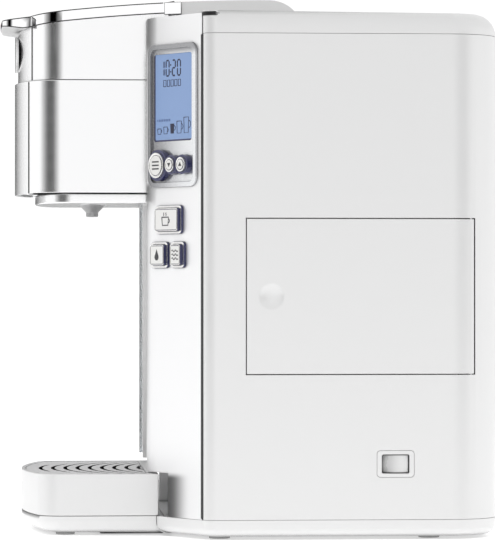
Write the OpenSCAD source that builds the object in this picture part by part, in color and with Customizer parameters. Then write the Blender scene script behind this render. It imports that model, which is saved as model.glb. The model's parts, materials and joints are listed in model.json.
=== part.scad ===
// Pod coffee machine: body, brew head with a hinged lid, display column, drip tray,
// side storage door, removable water tank and the working parts inside.
// +X is the machine's right side, -Y its front, +Z up. Origin: bottom centre of its box.

/* [Overall] */
// Width across the two sides
body_w = 237; // [195:0.5:290]
// Depth from the lid's lip to the back
total_d = 282; // [270:1:340]
// Height of the body's flat top above the table
body_h = 297; // [245:0.5:360]
// Length of a side, from its front flange to the back
side_l = 160; // [150:1:195]
// Height of the feet below the base
foot_h = 1.8; // [1:0.1:4]
// Height of the seam between base and walls
base_h = 11.2; // [9:0.1:14]
// Wall of the moulded shells
wall = 2.5; // [2:0.1:3]

/* [Body corners] */
// Radius of the upright corners at the back
rear_r = 28; // [16:1:34]
// Radius of the flange at the front of a side
flange_r = 10.5; // [8:0.5:14]
// Radius of the column's front edge
front_r = 33; // [25:1:40]
// Angle of the display face, from facing front
face_a = 33.5; // [28:0.5:38]
// Length of the flat display face, in plan
face_l = 42.5; // [40:0.5:50]
// Depth of the bay between the columns
bay_d = 20.3; // [18:0.1:26]
// Height of the top cap, from its seam
cap_h = 12.5; // [12:0.5:15]

/* [Brew head] */
// Gap between the head and a column
head_gap = 1.5; // [0.8:0.1:3]
// Height of the lid's half, from its seam to the body's top
lid_h = 35.2; // [33:0.1:40]
// Height of the head's lower shell
lower_h = 65.3; // [62:0.1:75]
// Height of the bottom pan
pan_h = 6.1; // [5:0.1:9]
// Depth of the head's bowed front and its corners
head_bulge = 28.1; // [24:0.1:32]
// Radius of the head's front corners
head_r = 20; // [12:0.5:22]
// How far the lid's lip stands in front of the lower shell
lip_l = 8.5; // [6:0.1:14]
// Half width of the lip
lip_hw = 39; // [30:0.5:44]
// Thickness of the lid plate
plate_t = 6.4; // [5.6:0.1:7]
// Radius of the arch along the lid and the rear cover
arch_r = 1076; // [900:1:1400]
// Height of the arch above the body's top
arch_h = 11; // [9:0.1:14]
// Distance of the nozzle behind the head's front
nozzle_back = 45.7; // [42:0.1:50]
// Radius of the pod's cup
pod_r = 24; // [20:0.5:25]

/* [Drip tray] */
// Half width of the tray beyond the column's inner edge
tray_out = 18.5; // [14:0.5:22]
// Height of the tray's rim above the table
tray_h = 35.4; // [30:0.1:45]
// Distance of the tray's front behind the lid's lip
tray_front = 12.5; // [8:0.5:20]
// Depth of the tray's bowed front and its corners
tray_bulge = 22.5; // [20:0.5:28]
// Radius of the tray's front corners
tray_r = 14; // [10:0.5:18]
// Thickness of the slotted plate
plate_w = 1.6; // [1.2:0.1:2]
// Pitch of the plate's slots
slot_pitch = 7.8; // [7:0.1:10]
// Width of a slot
slot_w = 2.4; // [2:0.1:3.5]
// Radius of the foremost slots
slot_r = 102; // [80:1:140]

/* [Storage door] */
// Length of the door along the side
door_l = 128.8; // [105:0.1:130]
// Height of the door
door_h = 87; // [70:0.5:105]
// Height of the door's lower edge
door_z = 93.2; // [80:0.1:100]
// Gap round the door
door_gap = 0.6; // [0.5:0.1:1]
// Depth of the pocket behind the door
pocket_d = 60; // [40:1:62]
// Radius of the finger dimple
dimple_r = 7.85; // [6:0.05:9]
// Depth of the finger dimple
dimple_d = 1.4; // [1:0.1:1.6]
// Radius of the hinge pin
door_pin_r = 1.2; // [1:0.05:1.3]

/* [Display column] */
// Width of the display bezel
bezel_w = 46; // [42:0.5:46]
// Height of the display bezel
bezel_h = 81.3; // [78:0.1:88]
// Distance of the bezel's top below the body's top
bezel_drop = 17; // [14:0.5:22]
// Width of the display window
lcd_w = 36; // [30:0.5:38]
// Height of the display window
lcd_h = 49.7; // [40:0.1:52]
// Radius of the menu button
menu_r = 7.85; // [6:0.05:8]
// Radius of the two small round buttons
arrow_r = 4.5; // [3.5:0.1:4.8]
// Width of the brew button
brew_w = 23; // [18:0.5:26]
// Height of the brew button
brew_h = 14; // [11:0.5:15]
// Width of the hot water button
hot_w = 14.4; // [11:0.1:15]
// Width of the rinse button
rinse_w = 10.8; // [9:0.1:12]
// Height of the two lower buttons
low_h = 12.7; // [10:0.1:13.5]
// Travel of a button
button_travel = 1; // [0.6:0.1:1.2]

/* [Water tank] */
// Wall of the tank
tank_wall = 2.2; // [1.8:0.1:3]
// Gap between the tank and the walls beside it
tank_gap = 1.2; // [0.8:0.1:2]
// Height of the dock's floor
dock_h = 11.2; // [10:0.1:14]
// Length of the tank's side, to the back corner's cover
tank_l = 117; // [100:1:122]

/* [Power switch] */
// Height of the power switch's middle
switch_z = 42.6; // [36:0.1:60]
// Distance of the power switch from the back
switch_back = 60; // [50:1:80]

/* [Hidden] */
$fn = 48;

white = "#f3f3f2";
silver = "#d4d5d6";
navy = "#232a55";
grey = "#8d8f91";
steel = "#b4b6b8";
dark = "#2b2c2e";

fit = 0.05;            // running clearance of a pin in its bore, per side
gap = 0.3;             // clearance between neighbouring mouldings
join = 1;              // how far one piece of a moulding runs into the next

// ---- plan of the body ----
side_x = body_w / 2;
rear_y = total_d / 2;
front_y = -total_d / 2;
flat_y = rear_y - side_l;
face_n = [sin(face_a), -cos(face_a)];
face_d = [cos(face_a), sin(face_a)];
flange_c = [side_x - flange_r, flat_y];
seam_p = flange_c + flange_r * face_n;
front_c = seam_p - face_l * face_d - front_r * face_n;
rear_c = [side_x - rear_r, rear_y - rear_r];
col_x = front_c[0] - 1.6;
col_front_y = front_c[1] - front_r;
bay_y = col_front_y + bay_d;
groove_h = 2.2;
seam_a = 7;             // open seam between a side and its column, in degrees

// ---- heights ----
base_z = foot_h;
cap_z = body_h - cap_h;
head_z = body_h - lid_h;
lower_z = head_z - lower_h;
pan_z = lower_z - pan_h;
wall_z = base_h + 0.2;
arch_y = 13;
arch_top = body_h + arch_h;
cover_r = 20;

// ---- brew head ----
head_hw = col_x - head_gap;
head_front = front_y + lip_l;
lid_front = head_front + 1.9;
panel_hw = head_hw - 16;
panel_t = 2.4;
nozzle_y = head_front + nozzle_back;
hinge_y = bay_y - 3.6;
hinge_z = arch_top - pow(hinge_y - arch_y, 2) / (2 * arch_r) - plate_t / 2;
lid_pin_r = 1.3;
deck_z = head_z - 5.3;
deck_t = 2.5;
rim_gap = 0.4;
cup_h = 42;
pan_in = 3;
lid_back = hinge_y - 4;
knuckle_x = head_hw - 14;
plate_over = 0.5;
lip_tip = 3.2;
needle_r = 12;
badge_r = 20;
badge_squeeze = 0.52;
badge_z = head_z + 0.583 * (arch_top - pow(lid_front - arch_y, 2) / (2 * arch_r)
    - plate_t - head_z);

// ---- drip tray ----
tray_hw = col_x + tray_out;
tray_y = front_y + tray_front;
tray_back = col_front_y + 6.2;
tray_base_back = tray_back + 2.9;
tray_wall = 2.4;
tray_z = base_h + 0.2;
tray_ledge = 2.4;      // ledge that carries the plate
plate_drop = 3;        // depth of the rim above that ledge
plate_back = col_front_y - 0.5;
plate_mid = tray_y + 41;
notch_x = tray_hw + 10;
notch_back = tray_back + 6;
notch_z = tray_h + 2.5;

// ---- storage door ----
door_t = 2.5;
dimple_ball = (dimple_r * dimple_r + dimple_d * dimple_d) / (2 * dimple_d);
barrel_r = 2.1;
barrel_a = 25;
barrel_c = rear_c + (rear_r - barrel_r) * [cos(barrel_a), sin(barrel_a)];
door_y0 = barrel_c[1] + barrel_r - door_l;
pocket_y0 = door_y0 + 5;
pocket_y1 = barrel_c[1] - 8;
pocket_z0 = door_z + 4;
pocket_z1 = door_z + door_h - 4;
flange_x = side_x - wall - 0.8;

// ---- display column ----
bezel_z = body_h - bezel_drop - bezel_h / 2;
bezel_s = 3.9 + bezel_w / 2;
bezel_t = 4;
bezel_out = 1.6;
rim_w = 2.6;
lcd_s = bezel_s + 0.6;
lcd_z = bezel_z + bezel_h / 2 - 5.5 - lcd_h / 2;
round_z = bezel_z - bezel_h / 2 + 12.5;
menu_s = bezel_s + 11.2;
down_s = bezel_s - 1.7;
up_s = bezel_s - 12.3;
brew_s = bezel_s + 3.2;
brew_z = bezel_z - bezel_h / 2 - 18.5;
hot_s = brew_s + 8.9;
rinse_s = brew_s - 8.6;
low_z = brew_z - 20;
skirt_w = 1.1;
skirt_out = 1.4;
cap_out = 2.4;
round_out = 3.4;
round_cap = 4.7;
cap_in = 6;
board_y = cap_in + button_travel + 1.6;

// ---- water tank ----
tank_in_x = col_x + wall + tank_gap;
tank_y1 = flat_y + tank_l;
tank_z0 = wall_z + dock_h + 0.6;
tank_z1 = cap_z - 0.7;
tank_pin_y = tank_y1 - 6.4;
tank_pin_z = cap_z + 6.3;
tank_pin_r = 1.5;
tank_barrel_r = 6.2;
valve_c = [-(tank_in_x + side_x) / 2, flat_y + 62];
valve_r = 7;
filter_c = [-(tank_in_x + side_x) / 2, flat_y + 24];
filter_r = 17;
ear_x = [tank_in_x + 12, side_x - 14];
ear_floor = 3;
tank_notch = 3;        // how much more room the tray gets in the tank
poppet_head = 2;
spring_z0 = tank_z0 + tank_wall + poppet_head;
spring_l = 12;

// ---- power switch ----
switch_y = rear_y - switch_back;
switch_w = 21;
switch_h = 15;
rocker_w = 15;
rocker_h = 10.1;
rocker_a = 7;
rocker_x = side_x - 3.2;

// ---- inside ----
mid_x = (side_x - pocket_d - 2 - col_x) / 2;
boiler_r = 34;
boiler_y = flat_y + 60;
boiler_h = 120;
boiler_z = body_h - 57 - boiler_h;
frame_y = rear_y - 38;
pump_r = 22;
pump_x = mid_x - 10;
pump_z = wall_z + 38;
pump_y = flat_y + 28;
board_back_y = rear_y - 15;
hose_r = 4;
bend_r = 12;

// ---- back ----
rear_seam_x = side_x - rear_r - 8;
vent_pitch = 6;
vent_hw = 26;
gland_x = rear_seam_x - 16;
gland_z = wall_z + 16;
cord_r = 3.6;
screw_x = rear_seam_x - 7;
screw_r = 1.8;

// ---- helpers ----
function arc(c, r, a0, a1, n = 8) =
    [for (i = [0:n]) let (a = a0 + (a1 - a0) * i / n) c + r * [cos(a), sin(a)]];

function mirrored(p) = [for (i = [len(p) - 1:-1:0]) [-p[i][0], p[i][1]]];

// closed outline with straight sides and a bowed front, drawn inwards by t
function bow_pts(hw, fy, bulge, r, back, t = 0) =
    let (
        big = (pow(hw - r, 2) / (bulge - r) + r + bulge) / 2,
        a = atan2(bulge - big, hw - r)
    )
    concat(
        [[hw - t, back]],
        arc([hw - r, fy + bulge], r - t, 0, a),
        arc([0, fy + big], big - t, a, -180 - a, 24),
        arc([-hw + r, fy + bulge], r - t, -180 - a, -180),
        [[-hw + t, back]]
    );

// right half of the body's plan, from the column's inner edge to the middle of the back
function body_half(t = 0) =
    concat(
        [[col_x + t, bay_y]],
        arc([col_x + 1.6, col_front_y + 1.6], 1.6 - min(t, 1.6), 180, 270, 3),
        arc(front_c, front_r - t, -90, -90 + face_a),
        arc(flange_c, flange_r - t, -90 + face_a, 0),
        arc(rear_c, rear_r - t, 0, 90, 12)
    );

function body_pts(t = 0) = concat(body_half(t), mirrored(body_half(t)));

// outline of the tank on the left side, between its inner and back edges
function tank_pts(t = 0, grow = 0) =
    let (
        x0 = tank_in_x + t - grow,
        a0 = asin((x0 - front_c[0]) / (front_r - t))
    )
    mirrored(concat(
        [[x0, tank_y1 - t]],
        arc(front_c, front_r - t, -90 + a0, -90 + face_a),
        arc(flange_c, flange_r - t, -90 + face_a, 0),
        [[side_x - t, tank_y1 - t]]
    ));

// closed band between the body's outline and the same outline drawn inwards
function column_band(t) =
    let (
        outer = concat(
            [[col_x, bay_y]],
            arc([col_x + 1.6, col_front_y + 1.6], 1.6, 180, 270, 3),
            arc(front_c, front_r, -90 + 1, -90 + face_a),
            [seam_p]
        ),
        inner = concat(
            [[col_x + t, bay_y]],
            arc(front_c, front_r - t, -90 + 5, -90 + face_a),
            [seam_p - t * face_n]
        )
    )
    concat(outer, [for (i = [len(inner) - 1:-1:0]) inner[i]]);

function column_fill() =
    concat(
        [[col_x, bay_y]],
        arc([col_x + 1.6, col_front_y + 1.6], 1.6, 180, 270, 3),
        arc(front_c, front_r, -90 + 1, -90 + face_a),
        [seam_p]
    );

function arch_z(y) = arch_top - pow(y - arch_y, 2) / (2 * arch_r);

function arch_line(y0, y1, n = 16) =
    [for (i = [0:n]) let (y = y0 + (y1 - y0) * i / n) [y, arch_z(y)]];

function rrect(w, h, r, n = 6) =
    concat(
        arc([w / 2 - r, h / 2 - r], r, 0, 90, n),
        arc([-w / 2 + r, h / 2 - r], r, 90, 180, n),
        arc([-w / 2 + r, -h / 2 + r], r, 180, 270, n),
        arc([w / 2 - r, -h / 2 + r], r, 270, 360, n)
    );

module slab(pts, z0, z1) translate([0, 0, z0]) linear_extrude(z1 - z0) polygon(pts);

module box(x0, x1, y0, y1, z0, z1) translate([x0, y0, z0]) cube([x1 - x0, y1 - y0, z1 - z0]);

// extrudes an outline drawn in Y and Z along X
module along_x(pts, x0, x1)
    translate([x0, 0, 0]) rotate([90, 0, 90]) linear_extrude(x1 - x0) polygon(pts);

module rod_x(y, z, r, x0, x1)
    translate([x0, y, z]) rotate([0, 90, 0]) cylinder(r = r, h = x1 - x0);

module rod_y(x, z, r, y0, y1)
    translate([x, y0, z]) rotate([-90, 0, 0]) cylinder(r = r, h = y1 - y0);

module rod_z(x, y, r, z0, z1) translate([x, y, z0]) cylinder(r = r, h = z1 - z0);

// places children on the display face: x towards the side, -y outwards, z up
module on_face(s, z)
    translate([seam_p[0] - s * face_d[0], seam_p[1] - s * face_d[1], z])
        rotate([0, 0, face_a]) children();

// rounded plate parallel to the display face, from y0 (outside) to y1 (inside)
module face_plate(w, h, r, y0, y1)
    translate([0, y1, 0]) rotate([90, 0, 0]) linear_extrude(y1 - y0) polygon(rrect(w, h, r));

module face_disc(r, y0, y1)
    translate([0, y1, 0]) rotate([90, 0, 0]) cylinder(r = r, h = y1 - y0);

// ---- base ----
module tray_base_plan(grow = 0)
    polygon(bow_pts(tray_hw + grow, tray_y - grow, tray_bulge + grow, tray_r + grow,
        tray_base_back + grow));

// plan of the base, which has no bay
function base_half(t = 0) =
    concat(
        arc(front_c, front_r - t, -90, -90 + face_a),
        arc(flange_c, flange_r - t, -90 + face_a, 0),
        arc(rear_c, rear_r - t, 0, 90, 12)
    );

module base_pan() color(white)
    difference() {
        slab(concat(base_half(0), mirrored(base_half(0))), base_z, base_h);
        translate([0, 0, base_z - 1]) linear_extrude(base_h) tray_base_plan(gap);
        intersection() {
            slab(body_pts(wall), base_z + wall, base_h + 1);
            box(-side_x, side_x, bay_y + 4, rear_y, base_z, base_h + 2);
        }
    }

module tray_base() color(white) {
    translate([0, 0, base_z]) linear_extrude(base_h - base_z) tray_base_plan();
    box(-tray_hw + 8, tray_hw - 8, tray_base_back - 36, tray_base_back, base_z - 1, base_z);
}

module feet() color("#b9babb") {
    for (side = [-1, 1]) {
        rod_z(side * (side_x - 19), flat_y + 2, 6, 0, base_z);
        rod_z(side * (side_x - 19), rear_y - 39, 6, 0, base_z);
        rod_z(side * (tray_hw - 16), tray_y + 25, 5.5, 0, base_z);
    }
}

// ---- shells ----
function side_band(t0, t1) =
    concat(
        arc(flange_c, flange_r - t0, -90 + face_a + seam_a, 0),
        arc(rear_c, rear_r - t0, 0, 90, 12),
        [[rear_seam_x, rear_y - t0], [rear_seam_x, rear_y - t1]],
        arc(rear_c, rear_r - t1, 90, 0, 12),
        arc(flange_c, flange_r - t1, 0, -90 + face_a + seam_a)
    );

module door_barrel(r, z0, z1) rod_z(barrel_c[0], barrel_c[1], r, z0, z1);

function door_band(t, y0) =
    concat(
        [[side_x, y0]],
        arc(rear_c, rear_r, 0, barrel_a, 5),
        arc(rear_c, rear_r - t, barrel_a, 0, 5),
        [[side_x - t, y0]]
    );

module side_cover() color(white)
    difference() {
        union() {
            slab(side_band(0, wall), wall_z, cap_z - 0.2);
            for (z = [door_z - door_gap - 10, door_z + door_h + door_gap])
                intersection() {
                    door_barrel(4.6, z, z + 10);
                    slab(body_pts(wall - 0.5), z - 1, z + 11);
                }
        }
        translate([0, 0, door_z - door_gap]) linear_extrude(door_h + 2 * door_gap)
            polygon(concat(
                [[side_x + 1, door_y0 - door_gap]],
                arc(rear_c, rear_r + 1, 0, barrel_a, 5),
                arc(rear_c, rear_r - wall - 4, barrel_a, 0, 5),
                [[side_x - wall - 4, door_y0 - door_gap]]
            ));
        door_barrel(barrel_r + door_gap, door_z - door_gap, door_z + door_h + door_gap);
        door_barrel(door_pin_r, door_z - 9, door_z + door_h + 9);
        translate([side_x - 10, switch_y, switch_z]) rotate([90, 0, 90])
            linear_extrude(20) polygon(rrect(switch_w + 0.2, switch_h + 0.2, 2));
    }

module screw_spots()
    for (x = [-rear_seam_x - 6, screw_x], z = [wall_z + 42, cap_z - 22])
        translate([x, rear_y, z]) rotate([90, 0, 0]) children();

// back of the body, wrapped round the left corner to a wall behind the tank
module rear_cover() color(white) {
    y0 = tank_y1 + tank_gap;
    outer = concat([[side_x, y0]], arc(rear_c, rear_r, 0, 90, 12));
    inner = concat(arc(rear_c, rear_r - wall, 90, 0, 12),
        [[side_x - wall, y0 + wall], [col_x + wall, y0 + wall], [col_x + wall, y0]]);
    difference() {
        slab(concat([[rear_seam_x - 0.4, rear_y - wall], [rear_seam_x - 0.4, rear_y]],
            [for (p = [for (i = [len(outer) - 1:-1:0]) outer[i]]) [-p[0], p[1]]],
            [for (p = [for (i = [len(inner) - 1:-1:0]) inner[i]]) [-p[0], p[1]]]),
            wall_z, cap_z - 0.2);
        for (i = [0:11])
            box(-vent_hw, vent_hw, rear_y - wall - 1, rear_y + 1,
                cap_z - 32 - i * vent_pitch, cap_z - 29 - i * vent_pitch);
        rod_y(gland_x, gland_z, 6, rear_y - wall - 1, rear_y + 1);
        screw_spots() translate([0, 0, -1]) cylinder(r = screw_r, h = wall + 2);
        screw_spots() translate([0, 0, -1]) cylinder(r = 3.4, h = 2.2);
    }
}

module rear_screws() color(steel)
    screw_spots() difference() {
        union() {
            translate([0, 0, 0.3]) cylinder(r = 3.3, h = 0.9);
            translate([0, 0, 1.2]) cylinder(r = screw_r - 0.05, h = 9);
        }
        translate([-2, -0.4, 0]) cube([4, 0.8, 0.8]);
        translate([-0.4, -2, 0]) cube([0.8, 4, 0.8]);
    }

module top_cap() color(white) {
    outer = concat(
        [[col_x, bay_y]],
        arc(flange_c, flange_r, -90 + face_a + seam_a, 0),
        arc(rear_c, rear_r, 0, 90, 12),
        mirrored(concat([[side_x, tank_y1 + tank_gap]], arc(rear_c, rear_r, 0, 90, 12))),
        [[-col_x, tank_y1 + tank_gap], [-col_x, bay_y]]
    );
    difference() {
        slab(outer, cap_z, body_h);
        slab(column_band(wall + gap), cap_z - 1, body_h + 1);
        // open groove between the flange's top and the cap's upper skin
        difference() {
            box(side_x - 12, side_x + 1, flat_y - 12, flat_y - 1,
                body_h - groove_h - 0.5, body_h - 0.5);
            rod_z(flange_c[0], flange_c[1], flange_r - 1.8, cap_z, body_h);
            box(side_x - 40, flange_c[0], flat_y - 5, flat_y + 5, cap_z, body_h);
        }
        intersection() {
            slab(body_pts(wall), cap_z - 1, body_h - wall);
            union() {
                box(-col_x + wall, side_x, bay_y + 12, rear_y, cap_z - 1, body_h);
                box(-side_x, side_x, tank_y1 + tank_gap + wall, rear_y, cap_z - 1, body_h);
            }
        }
    }
}

module cover_profile(t)
    polygon(concat(
        [[bay_y + t, body_h - 1], [bay_y + t, arch_z(bay_y) - t]],
        [for (p = arch_line(bay_y + t, arch_y + 1.5)) p - [0, t]],
        arc([arch_y + 1.5, arch_top - cover_r], cover_r - t, 88, 20, 10),
        [[arch_y + 1.5 + (cover_r - t) * cos(20), body_h - 1]]
    ));

module rear_top_cover() color(white)
    difference() {
        intersection() {
            translate([-head_hw, 0, 0]) rotate([90, 0, 90]) linear_extrude(2 * head_hw)
                cover_profile(0);
            translate([0, 0, body_h]) linear_extrude(arch_h + 2)
                polygon([[-head_hw, bay_y], [head_hw, bay_y], [head_hw, arch_y + 40],
                    [-head_hw, arch_y + 40]]);
        }
        translate([-head_hw + wall, 0, 0]) rotate([90, 0, 90])
            linear_extrude(2 * (head_hw - wall)) cover_profile(wall);
        for (side = [-1, 1])
            box(side * knuckle_x - 3.8, side * knuckle_x + 3.8, bay_y - 1, bay_y + wall + 1,
                hinge_z - 3.4, hinge_z + 1.2);
    }

module bay_wall() color(white)
    difference() {
        box(-col_x, col_x, bay_y, bay_y + wall, wall_z, cap_z - 0.2);
        rod_y(mid_x, boiler_z + boiler_h + 18 + bend_r, 6, bay_y - 1, bay_y + wall + 1);
    }

// ---- inner frame ----
module inner_frame() color(grey)
    difference() {
        union() {
            box(-col_x + 3, side_x - pocket_d - 8, frame_y, frame_y + 3, base_h + 0.2, cap_z - 1);
            box(-col_x + 3, side_x - pocket_d - 8, frame_y + 3, frame_y + 12,
                base_h + 0.2, base_h + 3.2);
            // clamp that holds the boiler
            difference() {
                union() {
                    rod_z(mid_x, boiler_y, boiler_r + 3, boiler_z + 80, boiler_z + 92);
                    box(mid_x - 12, mid_x + 12, boiler_y + 20, frame_y,
                        boiler_z + 80, boiler_z + 92);
                }
                rod_z(mid_x, boiler_y, boiler_r, boiler_z + 79, boiler_z + 93);
            }
        }
        for (z = [base_h + 30:44:cap_z - 40])
            rod_y(mid_x - 22, z, 6, frame_y - 1, frame_y + 4);
    }

// ---- water tank and its dock ----
module reservoir_dock() color(white)
    difference() {
        union() {
            slab(tank_pts(0, tank_gap + join), wall_z, wall_z + dock_h);
            box(-col_x - wall, -col_x, col_front_y + 2, tank_y1 + tank_gap, wall_z, body_h - 1);
        }
        tray_notch();
        rod_z(valve_c[0], valve_c[1], valve_r + 3, wall_z + dock_h - 7, wall_z + dock_h + 1);
    }

module dock_seal() color(dark)
    difference() {
        rod_z(valve_c[0], valve_c[1], valve_r + 3, wall_z + dock_h - 7, wall_z + dock_h - 0.5);
        rod_z(valve_c[0], valve_c[1], valve_r + 0.5, wall_z + dock_h - 5, wall_z + dock_h);
    }

module reservoir_tank() color([0.62, 0.72, 0.82, 0.6])
    difference() {
        union() {
            slab(tank_pts(0), tank_z0, tank_z1);
            rod_z(valve_c[0], valve_c[1], valve_r, tank_z0 - 5, tank_z0 + 1);
            // ears that carry the lid's pin
            for (x = ear_x)
                box(-x - 1.5, -x + 1.5, tank_pin_y - 3, tank_pin_y + 3, tank_z1, tank_pin_z + 3);
        }
        tray_notch(tank_notch);
        difference() {
            union() {
                slab(tank_pts(tank_wall), tank_z0 + tank_wall, tank_z1 - ear_floor);
                slab(tank_mouth(), tank_z1 - ear_floor - 0.01, tank_z1 + 0.01);
            }
            tray_notch(tank_notch + tank_wall);
        }
        rod_z(valve_c[0], valve_c[1], valve_r - 2.2, tank_z0 - 6, tank_z0 - 1.5);
        rod_z(valve_c[0], valve_c[1], 2 + fit, tank_z0 - 6, tank_z0 + 4);
        for (x = ear_x)
            rod_x(tank_pin_y, tank_pin_z, tank_pin_r + fit, -x - 2, -x + 2);
    }

// mouth of the tank, which leaves a ledge at the back for the ears
function tank_mouth() =
    let (
        x0 = tank_in_x + tank_wall,
        a0 = asin((x0 - front_c[0]) / (front_r - tank_wall))
    )
    mirrored(concat(
        [[x0, tank_pin_y - 4]],
        arc(front_c, front_r - tank_wall, -90 + a0, -90 + face_a),
        arc(flange_c, flange_r - tank_wall, -90 + face_a, 0),
        [[side_x - tank_wall, tank_pin_y - 4]]
    ));

module lid_section(t)
    union() {
        translate([0, 0]) polygon([
            [col_front_y - 1, cap_z + (t > 0 ? -1 : 0)], [tank_pin_y, cap_z + (t > 0 ? -1 : 0)],
            [tank_pin_y, body_h - 0.1 - t], [col_front_y - 1, body_h - 0.1 - t]
        ]);
        translate([tank_pin_y, tank_pin_z]) circle(r = tank_barrel_r - t);
    }

module reservoir_lid() color(white)
    difference() {
        intersection() {
            translate([-side_x - 1, 0, 0]) rotate([90, 0, 90])
                linear_extrude(side_x - tank_in_x + 2) lid_section(0);
            slab(tank_pts(0), cap_z - 1, body_h + 1);
        }
        intersection() {
            translate([-side_x - 1, 0, 0]) rotate([90, 0, 90])
                linear_extrude(side_x - tank_in_x + 2) lid_section(tank_wall);
            difference() {
                slab(tank_pts(tank_wall, 0), cap_z - 1, body_h - tank_wall);
                // cheeks that hold the pin
                for (x = ear_x)
                    box(-x - 5.2, -x - 2, tank_pin_y - 8, tank_pin_y + 8, cap_z, body_h);
            }
        }
        for (x = ear_x)
            box(-x - 2, -x + 2, tank_pin_y - 5, tank_pin_y + 8, cap_z - 1, tank_pin_z + 4.7);
        rod_x(tank_pin_y, tank_pin_z, tank_pin_r, -ear_x[1] - 5.2, -ear_x[0] + 3);
    }

module reservoir_lid_pin() color(steel)
    rod_x(tank_pin_y, tank_pin_z, tank_pin_r, -ear_x[1] - 5.2, -ear_x[0] + 2.6);

module valve_poppet() color(dark) {
    rod_z(valve_c[0], valve_c[1], 2, tank_z0 - 4.5, tank_z0 + tank_wall + spring_l);
    rod_z(valve_c[0], valve_c[1], 5, tank_z0 + tank_wall + 0.05,
        tank_z0 + tank_wall + poppet_head);
}

module valve_spring() color(steel)
    difference() {
        rod_z(valve_c[0], valve_c[1], 3.9, spring_z0, spring_z0 + spring_l);
        rod_z(valve_c[0], valve_c[1], 3, spring_z0 - 1, spring_z0 + spring_l + 1);
    }

module filter_holder() color(grey) {
    // cage over the valve that backs its spring
    difference() {
        rod_z(valve_c[0], valve_c[1], 8, tank_z0 + tank_wall, spring_z0 + spring_l + 2);
        rod_z(valve_c[0], valve_c[1], 6.4, tank_z0, spring_z0 + spring_l);
        rod_z(valve_c[0], valve_c[1], 2.4, tank_z0, spring_z0 + spring_l + 3);
    }
    // tall holder of the filter
    difference() {
        rod_z(filter_c[0], filter_c[1], filter_r, tank_z0 + tank_wall, tank_z0 + 78);
        rod_z(filter_c[0], filter_c[1], filter_r - 2, tank_z0 + tank_wall + 2, tank_z0 + 76);
        for (z = [tank_z0 + 12:12:tank_z0 + 60]) {
            box(filter_c[0] - 20, filter_c[0] + 20, filter_c[1] - 2, filter_c[1] + 2, z, z + 6);
            box(filter_c[0] - 2, filter_c[0] + 2, filter_c[1] - 20, filter_c[1] + 20, z, z + 6);
        }
    }
    rod_z(filter_c[0], filter_c[1], 4, tank_z0 + 78, tank_z0 + 92);
}

// ---- display column ----
// space that the tray's back corner and a finger need, grown by t
module tray_notch(t = 0)
    translate([0, 0, wall_z - 1]) linear_extrude(notch_z + t - wall_z + 1)
        polygon(bow_pts(notch_x + t, tray_y - 20, tray_bulge, tray_r, notch_back + t));

module face_holes(grow) {
    on_face(bezel_s, bezel_z) face_plate(bezel_w + grow, bezel_h + grow, 6, -6, 8);
    on_face(brew_s, brew_z)
        face_plate(brew_w + 2 * skirt_w + grow, brew_h + 2 * skirt_w + grow, 2.4, -6, 8);
    on_face(hot_s, low_z)
        face_plate(hot_w + 2 * skirt_w + grow, low_h + 2 * skirt_w + grow, 2.2, -6, 8);
    on_face(rinse_s, low_z)
        face_plate(rinse_w + 2 * skirt_w + grow, low_h + 2 * skirt_w + grow, 2.2, -6, 8);
}

module control_column() color(silver)
    difference() {
        union() {
            slab(column_band(wall), wall_z, body_h - 1);
            slab(column_fill(), body_h - 3.5, body_h - 1);
            // walls of the notch
            intersection() {
                slab(column_fill(), wall_z, notch_z + wall);
                tray_notch(wall);
            }
        }
        tray_notch();
        face_holes(0.2);
    }

module panel_bezel() color(silver)
    difference() {
        on_face(bezel_s, bezel_z)
            face_plate(bezel_w, bezel_h, 5.9, -bezel_out, bezel_t - bezel_out);
        on_face(bezel_s, bezel_z)
            face_plate(bezel_w - 2 * rim_w, bezel_h - 2 * rim_w, 4, -bezel_out - 1, -0.2);
        on_face(lcd_s, lcd_z) face_plate(lcd_w, lcd_h, 1.5, -4, 6);
        round_group(1.1, -4, 6);
    }

// the three overlapping round outlines, grown by g
module round_group(g, y0, y1) {
    on_face(menu_s, round_z) face_disc(menu_r + g, y0, y1);
    on_face(down_s, round_z) face_disc(arrow_r + g, y0, y1);
    on_face(up_s, round_z) face_disc(arrow_r + g, y0, y1);
    on_face((down_s + up_s) / 2, round_z) face_plate(down_s - up_s, 5, 1, y0, y1);
    on_face((menu_s + down_s) / 2, round_z) face_plate(menu_s - down_s, 6, 1, y0, y1);
}

module round_surround() color(navy)
    difference() {
        round_group(1.05, -round_out, bezel_t - bezel_out);
        on_face(menu_s, round_z) face_disc(menu_r - 0.6 + 0.15, -8, 8);
        on_face(down_s, round_z) face_disc(arrow_r - 0.4 + 0.15, -8, 8);
        on_face(up_s, round_z) face_disc(arrow_r - 0.4 + 0.15, -8, 8);
    }

module display_lens() color("#8fa9d6")
    on_face(lcd_s, lcd_z) face_plate(lcd_w - 0.1, lcd_h - 0.1, 1.4, 0.2, 2);

module button_skirt(s, z, w, h)
    on_face(s, z) difference() {
        face_plate(w + 2 * skirt_w, h + 2 * skirt_w, 2.3, -skirt_out, wall + 0.6);
        face_plate(w - 1 + 0.3, h - 1 + 0.3, 1.5, -6, 8);
    }

module button_skirts() color(navy) {
    button_skirt(brew_s, brew_z, brew_w, brew_h);
    button_skirt(hot_s, low_z, hot_w, low_h);
    button_skirt(rinse_s, low_z, rinse_w, low_h);
}

module rect_button(s, z, w, h) on_face(s, z) {
    face_plate(w - 1, h - 1, 1.4, -cap_out - 0.8, cap_in);
}

module round_button(s, r, edge) on_face(s, round_z) face_disc(r - edge, -round_cap, cap_in);

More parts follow.
